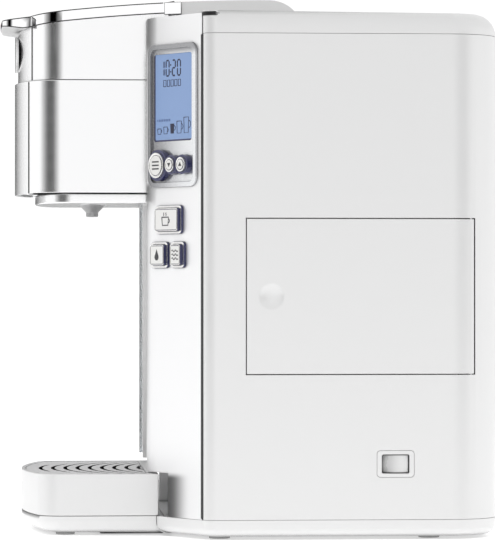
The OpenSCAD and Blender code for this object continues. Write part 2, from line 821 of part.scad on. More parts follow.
module menu_button() color(silver) round_button(menu_s, menu_r, 0.6);
module down_button() color(silver) round_button(down_s, arrow_r, 0.4);
module up_button() color(silver) round_button(up_s, arrow_r, 0.4);
module brew_button() color(silver) rect_button(brew_s, brew_z, brew_w, brew_h);
module hot_water_button() color(silver) rect_button(hot_s, low_z, hot_w, low_h);
module rinse_button() color(silver) rect_button(rinse_s, low_z, rinse_w, low_h);

// one board with the display and a switch behind each button
module control_board() color("#2f5d3a") {
    top = lcd_z + lcd_h / 2 + 4;
    low = low_z - 12;
    on_face(bezel_s + 2.4, (top + low) / 2) face_plate(40, top - low, 1, board_y, board_y + 1.6);
    on_face(lcd_s, lcd_z) face_plate(lcd_w + 2, lcd_h + 4, 1,
        bezel_t - bezel_out + 0.1, board_y + join);
    for (b = [[menu_s, round_z], [down_s, round_z], [up_s, round_z],
            [brew_s, brew_z], [hot_s, low_z], [rinse_s, low_z]])
        on_face(b[0], b[1]) face_disc(1.8, cap_in + button_travel + 0.1, board_y + join);
}

// ---- storage door ----
module storage_door() color(white)
    difference() {
        union() {
            slab(door_band(door_t, door_y0), door_z, door_z + door_h);
            door_barrel(barrel_r, door_z, door_z + door_h);
        }
        door_barrel(door_pin_r + fit, door_z - 1, door_z + door_h + 1);
        translate([side_x + dimple_ball - dimple_d, door_y0 + 14, door_z + door_h / 2])
            rotate([0, 90, 0]) sphere(r = dimple_ball, $fn = 96);
    }

module door_hinge_pin() color(steel) door_barrel(door_pin_r, door_z - 9, door_z + door_h + 9);

module compartment_liner() color("#dcdcdb")
    difference() {
        union() {
            box(side_x - pocket_d - wall, flange_x, pocket_y0 - 1.6, pocket_y1 + 1.6,
                pocket_z0 - 1.6, pocket_z1 + 1.6);
            box(flange_x - 1.6, flange_x, door_y0 - 4, barrel_c[1] - 7.4,
                door_z - 5, door_z + door_h + 5);
            // small catch behind the door's front edge
            box(flange_x - 5, flange_x, door_y0 + 0.6, door_y0 + 3, door_z + 12, door_z + 24);
        }
        box(side_x - pocket_d, side_x, pocket_y0, pocket_y1, pocket_z0, pocket_z1);
    }

// ---- power switch ----
module switch_frame() color(white)
    translate([side_x, switch_y, switch_z]) difference() {
        union() {
            translate([-wall, 0, 0]) rotate([90, 0, 90]) linear_extrude(wall)
                polygon(rrect(switch_w, switch_h, 2));
            translate([-16, 0, 0]) rotate([90, 0, 90]) linear_extrude(16 - wall)
                polygon(rrect(switch_w - 2, switch_h - 2, 1));
        }
        translate([-9, 0, 0]) rotate([90, 0, 90]) linear_extrude(10)
            polygon(rrect(rocker_w + 0.6, rocker_h + 0.6, 1));
    }

module power_rocker() color(white)
    translate([rocker_x, switch_y, switch_z]) rotate([0, 0, -rocker_a])
        translate([0, 0, -rocker_h / 2]) linear_extrude(rocker_h) intersection() {
            circle(r = rocker_w / 2);
            polygon([[-3, -8], [0.5, -8], [2.2, 0], [0.5, 8], [-3, 8], [-5, 2], [-5, -2]]);
        }

// ---- brew head ----
module bow_ring(fy, bulge, r, back, t0, t1, z0, z1)
    difference() {
        slab(bow_pts(head_hw, fy, bulge, r, back, t0), z0, z1);
        slab(bow_pts(head_hw, fy, bulge, r, back + 1, t1), z0 - 1, z1 + 1);
    }

module front_slice(hw, z0, z1) box(-hw, hw, front_y - 5, nozzle_y - 10, z0, z1);

module head_lower_shell() color(silver) {
    difference() {
        bow_ring(head_front, head_bulge, head_r, bay_y, 0, wall, lower_z, head_z - rim_gap);
        front_slice(panel_hw + 0.35, lower_z - 1, head_z + 1);
    }
    intersection() {
        bow_ring(head_front, head_bulge, head_r, bay_y, panel_t + 0.1, panel_t + 2,
            lower_z + 1, head_z - rim_gap - 1);
        front_slice(panel_hw + 6, lower_z, head_z);
    }
    difference() {
        slab(bow_pts(head_hw, head_front, head_bulge, head_r, bay_y, panel_t + 1),
            deck_z - deck_t, deck_z);
        rod_z(0, nozzle_y, pod_r + 3.2, deck_z - 5, deck_z + 1);
        rod_z(0, nozzle_y - pod_r - 9, 2.6, deck_z - 5, deck_z + 1);
    }
}

module head_front_panel() color(silver)
    intersection() {
        bow_ring(head_front, head_bulge, head_r, bay_y, 0, panel_t, lower_z - 0.4, head_z - rim_gap);
        front_slice(panel_hw, lower_z - 1, head_z);
    }

module head_bottom_pan() color(white)
    difference() {
        slab(bow_pts(head_hw - pan_in, head_front + 12, head_bulge - 6, head_r - 3, bay_y),
            pan_z, lower_z - 0.45);
        slab(bow_pts(head_hw - pan_in, head_front + 12, head_bulge - 6, head_r - 3,
            bay_y - 2, 2), pan_z + 2, lower_z);
        rod_z(0, nozzle_y, 7.8, pan_z - 1, pan_z + 3);
    }

module nozzle() color(grey)
    translate([0, nozzle_y, pan_z]) rotate_extrude()
        polygon([
            [2.4, -6.8], [3.3, -6.8], [3.6, -6.3], [3.6, -4.2], [7.7, 0], [7.7, 2.05], [9.5, 2.05],
            [9.5, 3.4], [5.5, 3.4], [5.5, 8], [2.4, 8]
        ]);

module pod_holder() color(dark)
    difference() {
        union() {
            rod_z(0, nozzle_y, pod_r + 7, deck_z, deck_z + 2);
            rod_z(0, nozzle_y, pod_r + 2.5, deck_z - cup_h, deck_z + 0.5);
            rod_z(0, nozzle_y, 6, pan_z + 8.2, deck_z - cup_h);
        }
        rod_z(0, nozzle_y, pod_r, deck_z - cup_h + 3, deck_z + 3);
        rod_z(0, nozzle_y, 2.4, pan_z, deck_z - cup_h + 1);
        for (a = [60:120:300])
            translate([0, nozzle_y, 0]) rotate([0, 0, a]) translate([6.5, 0, deck_z - cup_h + 2])
                cylinder(r = 1.5, h = 2, $fn = 16);
    }

module exit_needle() color(steel)
    translate([0, nozzle_y, deck_z - cup_h + 3]) {
        cylinder(r = 5, h = 1.6);
        translate([0, 0, 1.6]) cylinder(r1 = 2.2, r2 = 0.8, h = 8);
    }

// ---- lid ----
module lid_under(z0) {
    // everything below the plate's lower surface
    along_x(concat(
        [[front_y - 10, z0], [front_y - 10, arch_z(front_y - 10) - plate_t - 0.05]],
        [for (p = arch_line(front_y, hinge_y - 4)) p - [0, plate_t + 0.05]],
        [[hinge_y - 4, z0]]
    ), -side_x, side_x);
}

module lid_shell() color(silver)
    intersection() {
        union() {
            difference() {
                bow_ring(lid_front, head_bulge, head_r, lid_back, 0, wall, head_z, arch_top);
                front_slice(panel_hw + 0.35, head_z - 1, arch_top + 1);
            }
            intersection() {
                bow_ring(lid_front, head_bulge, head_r, lid_back, panel_t + 0.1, panel_t + 2,
                    head_z, arch_top);
                front_slice(panel_hw + 6, head_z, arch_top);
            }
            box(-head_hw + 1, head_hw - 1, lid_back - wall, lid_back, head_z, arch_top);
            difference() {
                slab(bow_pts(head_hw, lid_front, head_bulge, head_r, lid_back, panel_t + 1),
                    head_z, head_z + deck_t);
                rod_z(0, nozzle_y, needle_r + fit, head_z - 1, head_z + deck_t + 1);
            }
        }
        lid_under(head_z - 1);
    }

module lid_front_panel() color(silver)
    intersection() {
        bow_ring(lid_front, head_bulge, head_r, lid_back, 0, panel_t, head_z, arch_top);
        front_slice(panel_hw, head_z - 1, arch_top);
        lid_under(head_z - 1);
    }

module lid_plate() color(silver)
    difference() {
        union() {
            intersection() {
                along_x(concat(
                    [[hinge_y, hinge_z - plate_t / 2], [hinge_y, hinge_z + plate_t / 2]],
                    arch_line(hinge_y - 1, front_y),
                    [[front_y, arch_z(front_y) - lip_tip]],
                    [[front_y + 13, arch_z(front_y + 13) - plate_t]],
                    [for (p = arch_line(front_y + 14, hinge_y - 1)) p - [0, plate_t]]
                ), -head_hw, head_hw);
                translate([0, 0, head_z]) linear_extrude(lid_h + arch_h) union() {
                    polygon(bow_pts(head_hw, lid_front - plate_over,
                        head_bulge + plate_over, head_r + plate_over, hinge_y));
                    polygon(concat(
                        [[lip_hw, lid_front + 20]],
                        arc([lip_hw - 7, front_y + 8], 7, 0, -80),
                        [[0, front_y]],
                        arc([-lip_hw + 7, front_y + 8], 7, -100, -180),
                        [[-lip_hw, lid_front + 20]]
                    ));
                }
            }
            rod_x(hinge_y, hinge_z, plate_t / 2, -head_hw, head_hw);
        }
        rod_x(hinge_y, hinge_z, lid_pin_r, -head_hw + 3, head_hw - 3);
        for (side = [-1, 1])
            box(side * knuckle_x - 3.5, side * knuckle_x + 3.5, hinge_y - 3.7, hinge_y + 5,
                hinge_z - 6, hinge_z + 6);
    }

module badge() color(steel)
    translate([0, lid_front, badge_z]) rotate([90, 0, 0])
        scale([1, badge_squeeze, 1]) translate([0, 0, -0.6]) cylinder(r = badge_r, h = 2.4);

module entry_needle() color(steel)
    translate([0, nozzle_y, head_z]) {
        cylinder(r = needle_r, h = 12);
        translate([0, 0, deck_t]) cylinder(r = needle_r + 2, h = 1.6);
        translate([0, 0, -4]) cylinder(r = 6, h = 4);
        translate([0, 0, -16]) cylinder(r1 = 0.8, r2 = 2.2, h = 12);
    }

module lid_seal() color(dark)
    difference() {
        rod_z(0, nozzle_y, pod_r - 1, head_z - 2.6, head_z);
        rod_z(0, nozzle_y, pod_r - 6, head_z - 3, head_z + 1);
    }

module lid_hinge_bracket() color(steel)
    difference() {
        union() {
            box(-knuckle_x - 8, knuckle_x + 8, bay_y + 3.4, bay_y + 12, body_h, hinge_z + 0.5);
            for (side = [-1, 1]) {
                box(side * knuckle_x - 3, side * knuckle_x + 3, hinge_y, bay_y + 4,
                    hinge_z - 2.8, hinge_z + 0.5);
                rod_x(hinge_y, hinge_z, 3, side * knuckle_x - 3, side * knuckle_x + 3);
            }
        }
        for (side = [-1, 1])
            rod_x(hinge_y, hinge_z, lid_pin_r + fit, side * knuckle_x - 4, side * knuckle_x + 4);
    }

module lid_hinge_pin() color(steel)
    rod_x(hinge_y, hinge_z, lid_pin_r, -head_hw + 3, head_hw - 3);

// ---- drip tray ----
module tray_slab(t, back, z0, z1)
    slab(bow_pts(tray_hw, tray_y, tray_bulge, tray_r, back, t), z0, z1);

module drip_tray() color(white)
    difference() {
        tray_slab(0, tray_back, tray_z, tray_h);
        tray_slab(tray_wall, plate_back + gap, tray_h - plate_drop, tray_h + 1);
        tray_slab(tray_wall + tray_ledge, plate_back - tray_ledge, tray_z + tray_wall, tray_h + 1);
    }

module drip_plate() color(grey)
    difference() {
        tray_slab(tray_wall + gap, plate_back, tray_h - plate_drop + fit,
            tray_h - plate_drop + plate_w);
        intersection() {
            tray_slab(tray_wall + 8, plate_back - 5, tray_z, tray_h);
            difference() {
                union()
                    for (y = [tray_y + 14:slot_pitch:plate_back - 4], part = [-1:1])
                        translate([0, y + slot_r, tray_z]) rotate([0, 0, -90 + part * 17])
                            slot_arc(y);
                rod_z(0, plate_mid, 7.5, tray_z - 1, tray_h + 1);
            }
        }
    }

// one curved slot, about 15 degrees long
module slot_arc(y)
    linear_extrude(tray_h)
        polygon(concat(
            arc([0, 0], slot_r, -7.6, 7.6),
            arc([0, 0], slot_r - slot_w, 7.6, -7.6)
        ));

// ---- inside ----
module pump_housing() color(dark)
    difference() {
        union() {
            rod_y(pump_x, pump_z, pump_r, pump_y, pump_y + 62);
            rod_y(pump_x, pump_z, pump_r + 3, pump_y - 18, pump_y);
            box(pump_x - 24, pump_x + 24, pump_y + 6, pump_y + 50, base_h + 0.2, pump_z - 14);
        }
        rod_y(pump_x, pump_z, pump_r + 0.5, pump_y - 14, pump_y - 2);
        rod_y(pump_x, pump_z, 2 + fit, pump_y - 8, pump_y + 50);
        rod_y(pump_x, pump_z, 12, pump_y + 12, pump_y + 44);
        rod_y(pump_x, pump_z, 5, pump_y - 19, pump_y - 13);
    }

module pump_impeller() color(steel) {
    rod_y(pump_x, pump_z, 2, pump_y - 12, pump_y + 49);
    rod_y(pump_x, pump_z, 6, pump_y - 12.5, pump_y - 4);
    rod_y(pump_x, pump_z, 10, pump_y + 14, pump_y + 42);
    for (a = [0:60:300])
        translate([pump_x, pump_y - 12.5, pump_z]) rotate([0, a, 0])
            translate([-1, 0, 3]) cube([2, 8.5, pump_r - 4]);
}

module air_pump() color(grey) {
    x0 = side_x - pocket_d - 6;
    box(x0, x0 + 30, flat_y + 34, flat_y + 92, base_h + 0.2, base_h + 40);
    rod_z(x0 + 15, flat_y + 80, 9, base_h + 40, base_h + 54);
}

module boiler() color(steel)
    difference() {
        union() {
            rod_z(mid_x, boiler_y, boiler_r, boiler_z, boiler_z + boiler_h);
            rod_z(mid_x, boiler_y, 5, boiler_z + boiler_h, boiler_z + boiler_h + 12);
            rod_z(mid_x - 14, boiler_y, 8, boiler_z + boiler_h, boiler_z + boiler_h + 7);
            rod_z(mid_x, boiler_y, 4, boiler_z - 10, boiler_z);
        }
        rod_z(mid_x, boiler_y, boiler_r - 1.5, boiler_z + 1.5, boiler_z + boiler_h - 1.5);
        rod_z(mid_x, boiler_y, 2.5, boiler_z - 11, boiler_z + boiler_h + 13);
    }

module heater_band() color("#c8a24a")
    difference() {
        rod_z(mid_x, boiler_y, boiler_r + 3, boiler_z + 12, boiler_z + 46);
        rod_z(mid_x, boiler_y, boiler_r, boiler_z + 11, boiler_z + 47);
    }

module solenoid_valve() color("#3a5f8a") {
    box(mid_x - 38, mid_x - 16, frame_y - 24, frame_y, boiler_z + 40, boiler_z + 70);
    rod_z(mid_x - 27, frame_y - 12, 7, boiler_z + 70, boiler_z + 86);
}

module bend(c, a) translate(c) rotate([0, 0, a]) rotate([90, 0, 0])
    rotate_extrude(angle = 90) translate([bend_r, 0]) circle(r = hose_r, $fn = 32);

module hoses() color("#d9dde0") {
    // boiler outlet to the head, through the bay wall
    top = boiler_z + boiler_h + 12;
    rod_z(mid_x, boiler_y, hose_r, top, top + 6);
    bend([mid_x, boiler_y - bend_r, top + 6], 90);
    rod_y(mid_x, top + 6 + bend_r, hose_r, bay_y + wall + 4, boiler_y - bend_r);
    // pump outlet up to the boiler's floor
    rod_z(mid_x, boiler_y, hose_r, pump_z + pump_r + 4, boiler_z - 10);
}

module power_board() color("#2f5d3a") {
    box(-36, 36, board_back_y, board_back_y + 1.6, wall_z + 44, wall_z + 128);
    box(-24, 2, board_back_y - 18, board_back_y, wall_z + 52, wall_z + 80);
    box(12, 26, board_back_y - 10, board_back_y, wall_z + 92, wall_z + 112);
    rod_y(18, wall_z + 66, 7, board_back_y - 18, board_back_y);
}

// bush in the back that a cord leaves by
module cord_gland() color(dark)
    difference() {
        union() {
            rod_y(gland_x, gland_z, 6, rear_y - 12, rear_y);
            rod_y(gland_x, gland_z, 9, rear_y - wall - 3, rear_y - wall);
        }
        rod_y(gland_x, gland_z, cord_r, rear_y - 13, rear_y + 1);
    }

base_pan();
tray_base();
feet();
side_cover();
rear_cover();
rear_screws();
top_cap();
rear_top_cover();
bay_wall();
inner_frame();
reservoir_dock();
control_column();
panel_bezel();
display_lens();
control_board();
round_surround();
button_skirts();
menu_button();
down_button();
up_button();
brew_button();
hot_water_button();
rinse_button();
storage_door();
compartment_liner();
door_hinge_pin();
switch_frame();
power_rocker();
head_lower_shell();
head_front_panel();
head_bottom_pan();
nozzle();
pod_holder();
exit_needle();
lid_shell();
lid_front_panel();
lid_plate();
badge();
entry_needle();
lid_seal();
lid_hinge_bracket();
lid_hinge_pin();
drip_tray();
drip_plate();
reservoir_tank();
reservoir_lid();
reservoir_lid_pin();
valve_poppet();
valve_spring();
filter_holder();
dock_seal();
pump_housing();
pump_impeller();
air_pump();
boiler();
heater_band();
solenoid_valve();
hoses();
power_board();
cord_gland();
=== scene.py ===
# %% [markdown]
# # A pod coffee machine
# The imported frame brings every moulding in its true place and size. This lesson dresses it: it
# rounds the edges that a mould rounds, adds the thin parts a frame leaves out, such as the icons
# on the keys and the figures on the display, and gives each part a finish made of nodes.

# %% Load the frame
import json
import math

import bmesh
import bpy
from mathutils import Matrix, Vector


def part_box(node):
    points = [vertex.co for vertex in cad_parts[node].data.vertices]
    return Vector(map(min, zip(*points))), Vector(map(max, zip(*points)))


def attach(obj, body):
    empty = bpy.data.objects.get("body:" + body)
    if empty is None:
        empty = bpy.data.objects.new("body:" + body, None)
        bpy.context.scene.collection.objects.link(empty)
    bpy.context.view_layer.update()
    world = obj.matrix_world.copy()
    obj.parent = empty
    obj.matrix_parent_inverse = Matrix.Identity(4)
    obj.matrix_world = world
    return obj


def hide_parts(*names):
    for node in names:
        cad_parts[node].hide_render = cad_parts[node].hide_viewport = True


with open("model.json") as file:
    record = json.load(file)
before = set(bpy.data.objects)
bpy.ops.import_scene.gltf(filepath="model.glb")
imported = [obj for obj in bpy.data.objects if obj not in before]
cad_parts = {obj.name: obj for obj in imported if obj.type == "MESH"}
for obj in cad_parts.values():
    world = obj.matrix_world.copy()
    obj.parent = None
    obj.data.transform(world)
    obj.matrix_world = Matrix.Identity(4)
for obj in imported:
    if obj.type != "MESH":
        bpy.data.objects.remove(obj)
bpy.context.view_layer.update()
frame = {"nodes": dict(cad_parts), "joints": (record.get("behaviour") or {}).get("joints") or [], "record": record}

MM = 0.001
nodes = frame["nodes"]
body_of = {n: b for b, members in frame["record"]["behaviour"]["bodies"].items() for n in members}

# %% [markdown]
# ## The camera
# A long lens far from the side keeps the upright edges parallel, as in a catalogue picture. The
# camera stands a little to the front of square, at half the machine's height, so the display
# column, which faces the front corner, can just be read.

# %% Camera
side_low, side_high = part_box("side_cover")
LENS, FILM = 225.8, 36          # focal length and film width, in millimetres
aim = Vector((side_high.x, -1 * MM, 140.3 * MM))
swing, tilt, reach = math.radians(3.9), math.radians(0.32), 1.904
away = Vector((math.cos(swing), -math.sin(swing), 0))
camera_data = bpy.data.cameras.new("camera")
camera_data.lens = LENS
camera_data.sensor_width = FILM
camera = bpy.data.objects.new("camera", camera_data)
camera.location = aim + away * reach
gaze = Vector((-away.x * math.cos(tilt), -away.y * math.cos(tilt), math.sin(tilt)))
camera.rotation_euler = gaze.to_track_quat("-Z", "Y").to_euler()
bpy.context.scene.collection.objects.link(camera)
bpy.context.scene.camera = camera
bpy.context.scene.view_settings.view_transform = "Standard"
print("camera at", [round(c, 3) for c in camera.location])

# %% [markdown]
# ## Floor, room and lights
# White plastic needs a white room, or it looks grey. The room is a world shader: an even white for
# soft light, and for mirror-like rays the same white with a dark flag beside the front corner and
# a dim far wall, both only near the horizon. Bright silver parts are only readable by what they
# reflect, so the flag draws the dark upright band on every rounded front corner.

# %% World
world = bpy.data.worlds.new("white_room")
bpy.context.scene.world = world
world.use_nodes = True
wt = world.node_tree
wt.nodes.clear()


def node(tree, kind, at=(0, 0), **values):
    """Adds a node and sets its properties or, by name, its input sockets."""
    made = tree.nodes.new(kind)
    made.location = at
    for name, value in values.items():
        if hasattr(made, name):
            setattr(made, name, value)
        else:
            made.inputs[name.replace("_", " ")].default_value = value
    return made


def wire(tree, *pairs):
    """Links each output to the input that stands beside it."""
    for source, target in pairs:
        tree.links.new(source, target)


def set_up(made, **values):
    """Sets input sockets by name, with an underscore for each space."""
    for name, value in values.items():
        made.inputs[name.replace("_", " ")].default_value = value


def ramp(tree, stops, at=(0, 0)):
    """A colour ramp with grey stops, given as pairs of place and brightness."""
    made = node(tree, "ShaderNodeValToRGB", at)
    while len(made.color_ramp.elements) < len(stops):
        made.color_ramp.elements.new(0.5)
    for element, (place, value) in zip(made.color_ramp.elements, stops):
        element.position = place
        element.color = (value, value, value, 1)
    return made


WHITE = (1, 1, 1, 1)
# The room's brightness by direction in degrees: 0 is the machine's right side, -90 its front.
ROOM = [
    (-180, 0.06), (-166, 0.12), (-146, 0.9), (-135, 1.1), (-84, 1.1), (-70, 0.45), (-54, 0.0),
    (-34, 0.0), (-22, 0.5), (-12, 1.05), (12, 1.05), (24, 0.3), (40, 0.3), (58, 1.1), (150, 1.1),
    (180, 0.06),
]
SOFT, BACKDROP = 0.68, 1.05         # strength of the soft light and of what the camera sees
FADE_LOW, FADE_HIGH = 0.18, 0.28    # where the flags fade out, as the height of a direction
coords = node(wt, "ShaderNodeTexCoord", (-900, 0))
split = node(wt, "ShaderNodeSeparateXYZ", (-700, 0))
compass = node(wt, "ShaderNodeMath", (-500, 0), operation="ARCTAN2")
share = node(wt, "ShaderNodeMapRange", (-300, 0), From_Min=-math.pi, From_Max=math.pi)
room = ramp(wt, [((degrees + 180) / 360, level) for degrees, level in ROOM], (-100, 0))
height = node(wt, "ShaderNodeMath", (-500, -300), operation="ABSOLUTE")
above = node(wt, "ShaderNodeMapRange", (-300, -300), From_Min=FADE_LOW, From_Max=FADE_HIGH)
lit_room = node(wt, "ShaderNodeMix", (100, 0), data_type="RGBA")
lit_room.inputs["B"].default_value = WHITE
mirror_light = node(wt, "ShaderNodeBackground", (250, 0), Strength=1.0)
soft_light = node(wt, "ShaderNodeBackground", (250, -200), Color=WHITE, Strength=SOFT)
backdrop = node(wt, "ShaderNodeBackground", (250, -400), Color=WHITE, Strength=BACKDROP)
rays = node(wt, "ShaderNodeLightPath", (0, 400))
by_gloss = node(wt, "ShaderNodeMixShader", (500, 0))
by_eye = node(wt, "ShaderNodeMixShader", (700, 0))
out = node(wt, "ShaderNodeOutputWorld", (900, 0))
wire(
    wt,
    (coords.outputs["Generated"], split.inputs[0]),
    (split.outputs["Y"], compass.inputs[0]), (split.outputs["X"], compass.inputs[1]),
    (compass.outputs[0], share.inputs["Value"]), (share.outputs[0], room.inputs[0]),
    (split.outputs["Z"], height.inputs[0]), (height.outputs[0], above.inputs["Value"]),
    (above.outputs[0], lit_room.inputs["Factor"]), (room.outputs[0], lit_room.inputs["A"]),
    (lit_room.outputs["Result"], mirror_light.inputs["Color"]),
    (rays.outputs["Is Glossy Ray"], by_gloss.inputs[0]),
    (soft_light.outputs[0], by_gloss.inputs[1]), (mirror_light.outputs[0], by_gloss.inputs[2]),
    (rays.outputs["Is Camera Ray"], by_eye.inputs[0]),
    (by_gloss.outputs[0], by_eye.inputs[1]), (backdrop.outputs[0], by_eye.inputs[2]),
    (by_eye.outputs[0], out.inputs[0]),
)
print("world made")

# %% Floor and lamps
bpy.ops.mesh.primitive_circle_add(vertices=64, radius=1.35, fill_type="NGON", location=(0, 0, 0))
floor = bpy.context.object
floor.name = "floor"
paint = bpy.data.materials.new("floor_paint")
paint.use_nodes = True
set_up(paint.node_tree.nodes["Principled BSDF"], Base_Color=WHITE, Roughness=1.0,
       Specular_IOR_Level=0.0, Emission_Color=WHITE, Emission_Strength=0.45)
floor.data.materials.append(paint)

WATTS, LIT_POINT = 8, Vector((0, 0, 0.15))
for name, at, size in [("front_box", (0.5, -2.4, 1.2), 1.6), ("rear_box", (0.6, 2.4, 1.2), 1.6),
                       ("top_box", (0.1, -0.2, 2.6), 1.4)]:
    data = bpy.data.lights.new(name, "AREA")
    data.shape = "SQUARE"
    data.size = size
    data.energy = WATTS
    soft_box = bpy.data.objects.new(name, data)
    soft_box.location = at
    soft_box.rotation_euler = (LIT_POINT - Vector(at)).to_track_quat("-Z", "Y").to_euler()
    soft_box.visible_glossy = False
    bpy.context.scene.collection.objects.link(soft_box)
print("floor and 3 lamps made")

# %% [markdown]
# ## Shared effects
# Moulded plastic is never one flat colour: it has a fine grain, a slow change of shade where it
# cooled and edges that hands have polished. The gaps where parts meet get a painted shade. Each
# effect is a node group, so that every finish can use it with its own scale and strength.


# %% Effect groups
def group(name, inputs, outputs):
    """An empty shader group with number or vector sockets."""
    made = bpy.data.node_groups.new(name, "ShaderNodeTree")
    for socket, kind, default in inputs:
        s = made.interface.new_socket(socket, in_out="INPUT", socket_type=kind)
        if default is not None:
            s.default_value = default
    for socket, kind in outputs:
        made.interface.new_socket(socket, in_out="OUTPUT", socket_type=kind)
    return made, node(made, "NodeGroupInput", (-800, 0)), node(made, "NodeGroupOutput", (800, 0))


FLOAT, VECTOR = "NodeSocketFloat", "NodeSocketVector"
grain, gi, go = group("grain", [("Vector", VECTOR, None), ("Scale", FLOAT, 900.0)],
                      [("Height", FLOAT), ("Shade", FLOAT), ("Polish", FLOAT)])
fine = node(grain, "ShaderNodeTexNoise", (-400, 200), Detail=3.0, Roughness=0.6)
slow = node(grain, "ShaderNodeTexNoise", (-400, -50), Scale=9.0, Detail=2.0)
hands = node(grain, "ShaderNodeTexNoise", (-400, -300), Scale=38.0, Detail=4.0, Roughness=0.55)
wire(
    grain,
    (gi.outputs["Vector"], fine.inputs["Vector"]), (gi.outputs["Scale"], fine.inputs["Scale"]),
    (gi.outputs["Vector"], slow.inputs["Vector"]), (gi.outputs["Vector"], hands.inputs["Vector"]),
    (fine.outputs[0], go.inputs["Height"]), (slow.outputs[0], go.inputs["Shade"]),
    (hands.outputs[0], go.inputs["Polish"]),
)

wear, wi, wo = group("edge_wear", [("Vector", VECTOR, None), ("Spread", FLOAT, 0.5)],
                     [("Mask", FLOAT)])
shape = node(wear, "ShaderNodeNewGeometry", (-600, 200))
rise = node(wear, "ShaderNodeMapRange", (-400, 200), From_Min=0.52, From_Max=0.62)
patch = node(wear, "ShaderNodeTexNoise", (-600, -100), Scale=60.0, Detail=3.0)
both = node(wear, "ShaderNodeMath", (-100, 0), operation="MULTIPLY")
less = node(wear, "ShaderNodeMath", (100, 0), operation="MULTIPLY")
wire(
    wear,
    (shape.outputs["Pointiness"], rise.inputs["Value"]), (rise.outputs[0], both.inputs[0]),
    (wi.outputs["Vector"], patch.inputs["Vector"]), (patch.outputs[0], both.inputs[1]),
    (both.outputs[0], less.inputs[0]), (wi.outputs["Spread"], less.inputs[1]),
    (less.outputs[0], wo.inputs["Mask"]),
)

brush, bi, bo = group("brushing", [("Vector", VECTOR, None), ("Stretch", VECTOR, (1, 1, 1))],
                      [("Height", FLOAT), ("Polish", FLOAT)])
pull = node(brush, "ShaderNodeVectorMath", (-600, 0), operation="MULTIPLY")
line = node(brush, "ShaderNodeTexNoise", (-300, 100), Scale=14.0, Detail=5.0, Roughness=0.7)
smear = node(brush, "ShaderNodeTexNoise", (-300, -150), Scale=3.0, Detail=2.0)
wire(
    brush,
    (bi.outputs["Vector"], pull.inputs[0]), (bi.outputs["Stretch"], pull.inputs[1]),
    (pull.outputs[0], line.inputs["Vector"]), (pull.outputs[0], smear.inputs["Vector"]),
    (line.outputs[0], bo.inputs["Height"]), (smear.outputs[0], bo.inputs["Polish"]),
)

# Painted shade: an occlusion mask that darkens creases, recesses and the gaps between parts.
crevice, ci, co = group("crevice", [("Reach", FLOAT, 0.004), ("Strength", FLOAT, 0.8)],
                        [("Mask", FLOAT)])
hidden = node(crevice, "ShaderNodeAmbientOcclusion", (-500, 0), samples=6)
turned = node(crevice, "ShaderNodeMapRange", (-250, 0), From_Min=0.15, From_Max=0.8, To_Min=1.0,
              To_Max=0.0)
scaled = node(crevice, "ShaderNodeMath", (0, 0), operation="MULTIPLY")
wire(
    crevice,
    (ci.outputs["Reach"], hidden.inputs["Distance"]),
    (hidden.outputs["AO"], turned.inputs["Value"]),
    (turned.outputs[0], scaled.inputs[0]), (ci.outputs["Strength"], scaled.inputs[1]),
    (scaled.outputs[0], co.inputs["Mask"]),
)
print("effect groups: grain, edge_wear, brushing, crevice")


# %% [markdown]
# ## Finishes
# One function mixes the plastics, and another the metals. A plastic has two close shades of its
# colour, a roughness that hands change a little, and a bump from the grain. A metal takes its
# bump from fine lines drawn one way by the polishing belt.

# %% Plastics and metals
GRAIN_DEPTH, BRUSH_DEPTH = 0.0002, 0.0001   # how deep the relief is, in metres
GAP_SHADE = 0.08                            # a gap's share of the finish's own colour


def blank(name):
    """A new material with its shader and a node that gives the part's own coordinates."""
    made = bpy.data.materials.new(name)
    made.use_nodes = True
    tree = made.node_tree
    shader = tree.nodes["Principled BSDF"]
    place = node(tree, "ShaderNodeTexCoord", (-1200, 0))
    return made, tree, shader, place


def use(tree, effect, place=None, at=(0, 0), **values):
    """Places an effect group, on the part's own coordinates if it has a pattern."""
    made = tree.nodes.new("ShaderNodeGroup")
    made.node_tree = effect
    made.location = at
    set_up(made, **values)
    if place:
        tree.links.new(place.outputs["Object"], made.inputs["Vector"])
    return made


def over(tree, factor, under, colour, at=(0, 0)):
    """Lays a colour over what is there, by a mask."""
    made = node(tree, "ShaderNodeMix", at, data_type="RGBA")
    made.inputs["B"].default_value = (*colour, 1)
    wire(tree, (factor, made.inputs["Factor"]), (under, made.inputs["A"]))
    return made.outputs["Result"]


def two_tone(tree, shader, factor, low, high, worn=None, wear_mask=None, crevice_shade=0.0):
    """Mixes two close shades by a slow mask, then a worn edge shade and a painted shade in gaps."""
    mix = node(tree, "ShaderNodeMix", (-500, 250), data_type="RGBA")
    mix.inputs["A"].default_value = (*low, 1)
    mix.inputs["B"].default_value = (*high, 1)
    tree.links.new(factor, mix.inputs["Factor"])
    shade = mix.outputs["Result"]
    if worn:
        shade = over(tree, wear_mask, shade, worn, (-250, 250))
    if crevice_shade:
        # The crevice share lays a painted shade in creases and gaps.
        gap = use(tree, crevice, at=(-300, 500), Strength=crevice_shade)
        shade = over(tree, gap.outputs["Mask"], shade, [c * GAP_SHADE for c in low], (-100, 300))
    tree.links.new(shade, shader.inputs["Base Color"])


def uneven(tree, shader, source, low, high):
    """Lets a mask move the roughness between two values."""
    made = node(tree, "ShaderNodeMapRange", (-500, -50), From_Min=0.3, From_Max=0.7, To_Min=low,
                To_Max=high)
    wire(tree, (source, made.inputs["Value"]), (made.outputs[0], shader.inputs["Roughness"]))


def bumped(tree, shader, source, strength, depth):
    """Turns a height into relief on the shader's normal."""
    made = node(tree, "ShaderNodeBump", (-250, -300), Strength=strength, Distance=depth)
    wire(tree, (source, made.inputs["Height"]), (made.outputs[0], shader.inputs["Normal"]))


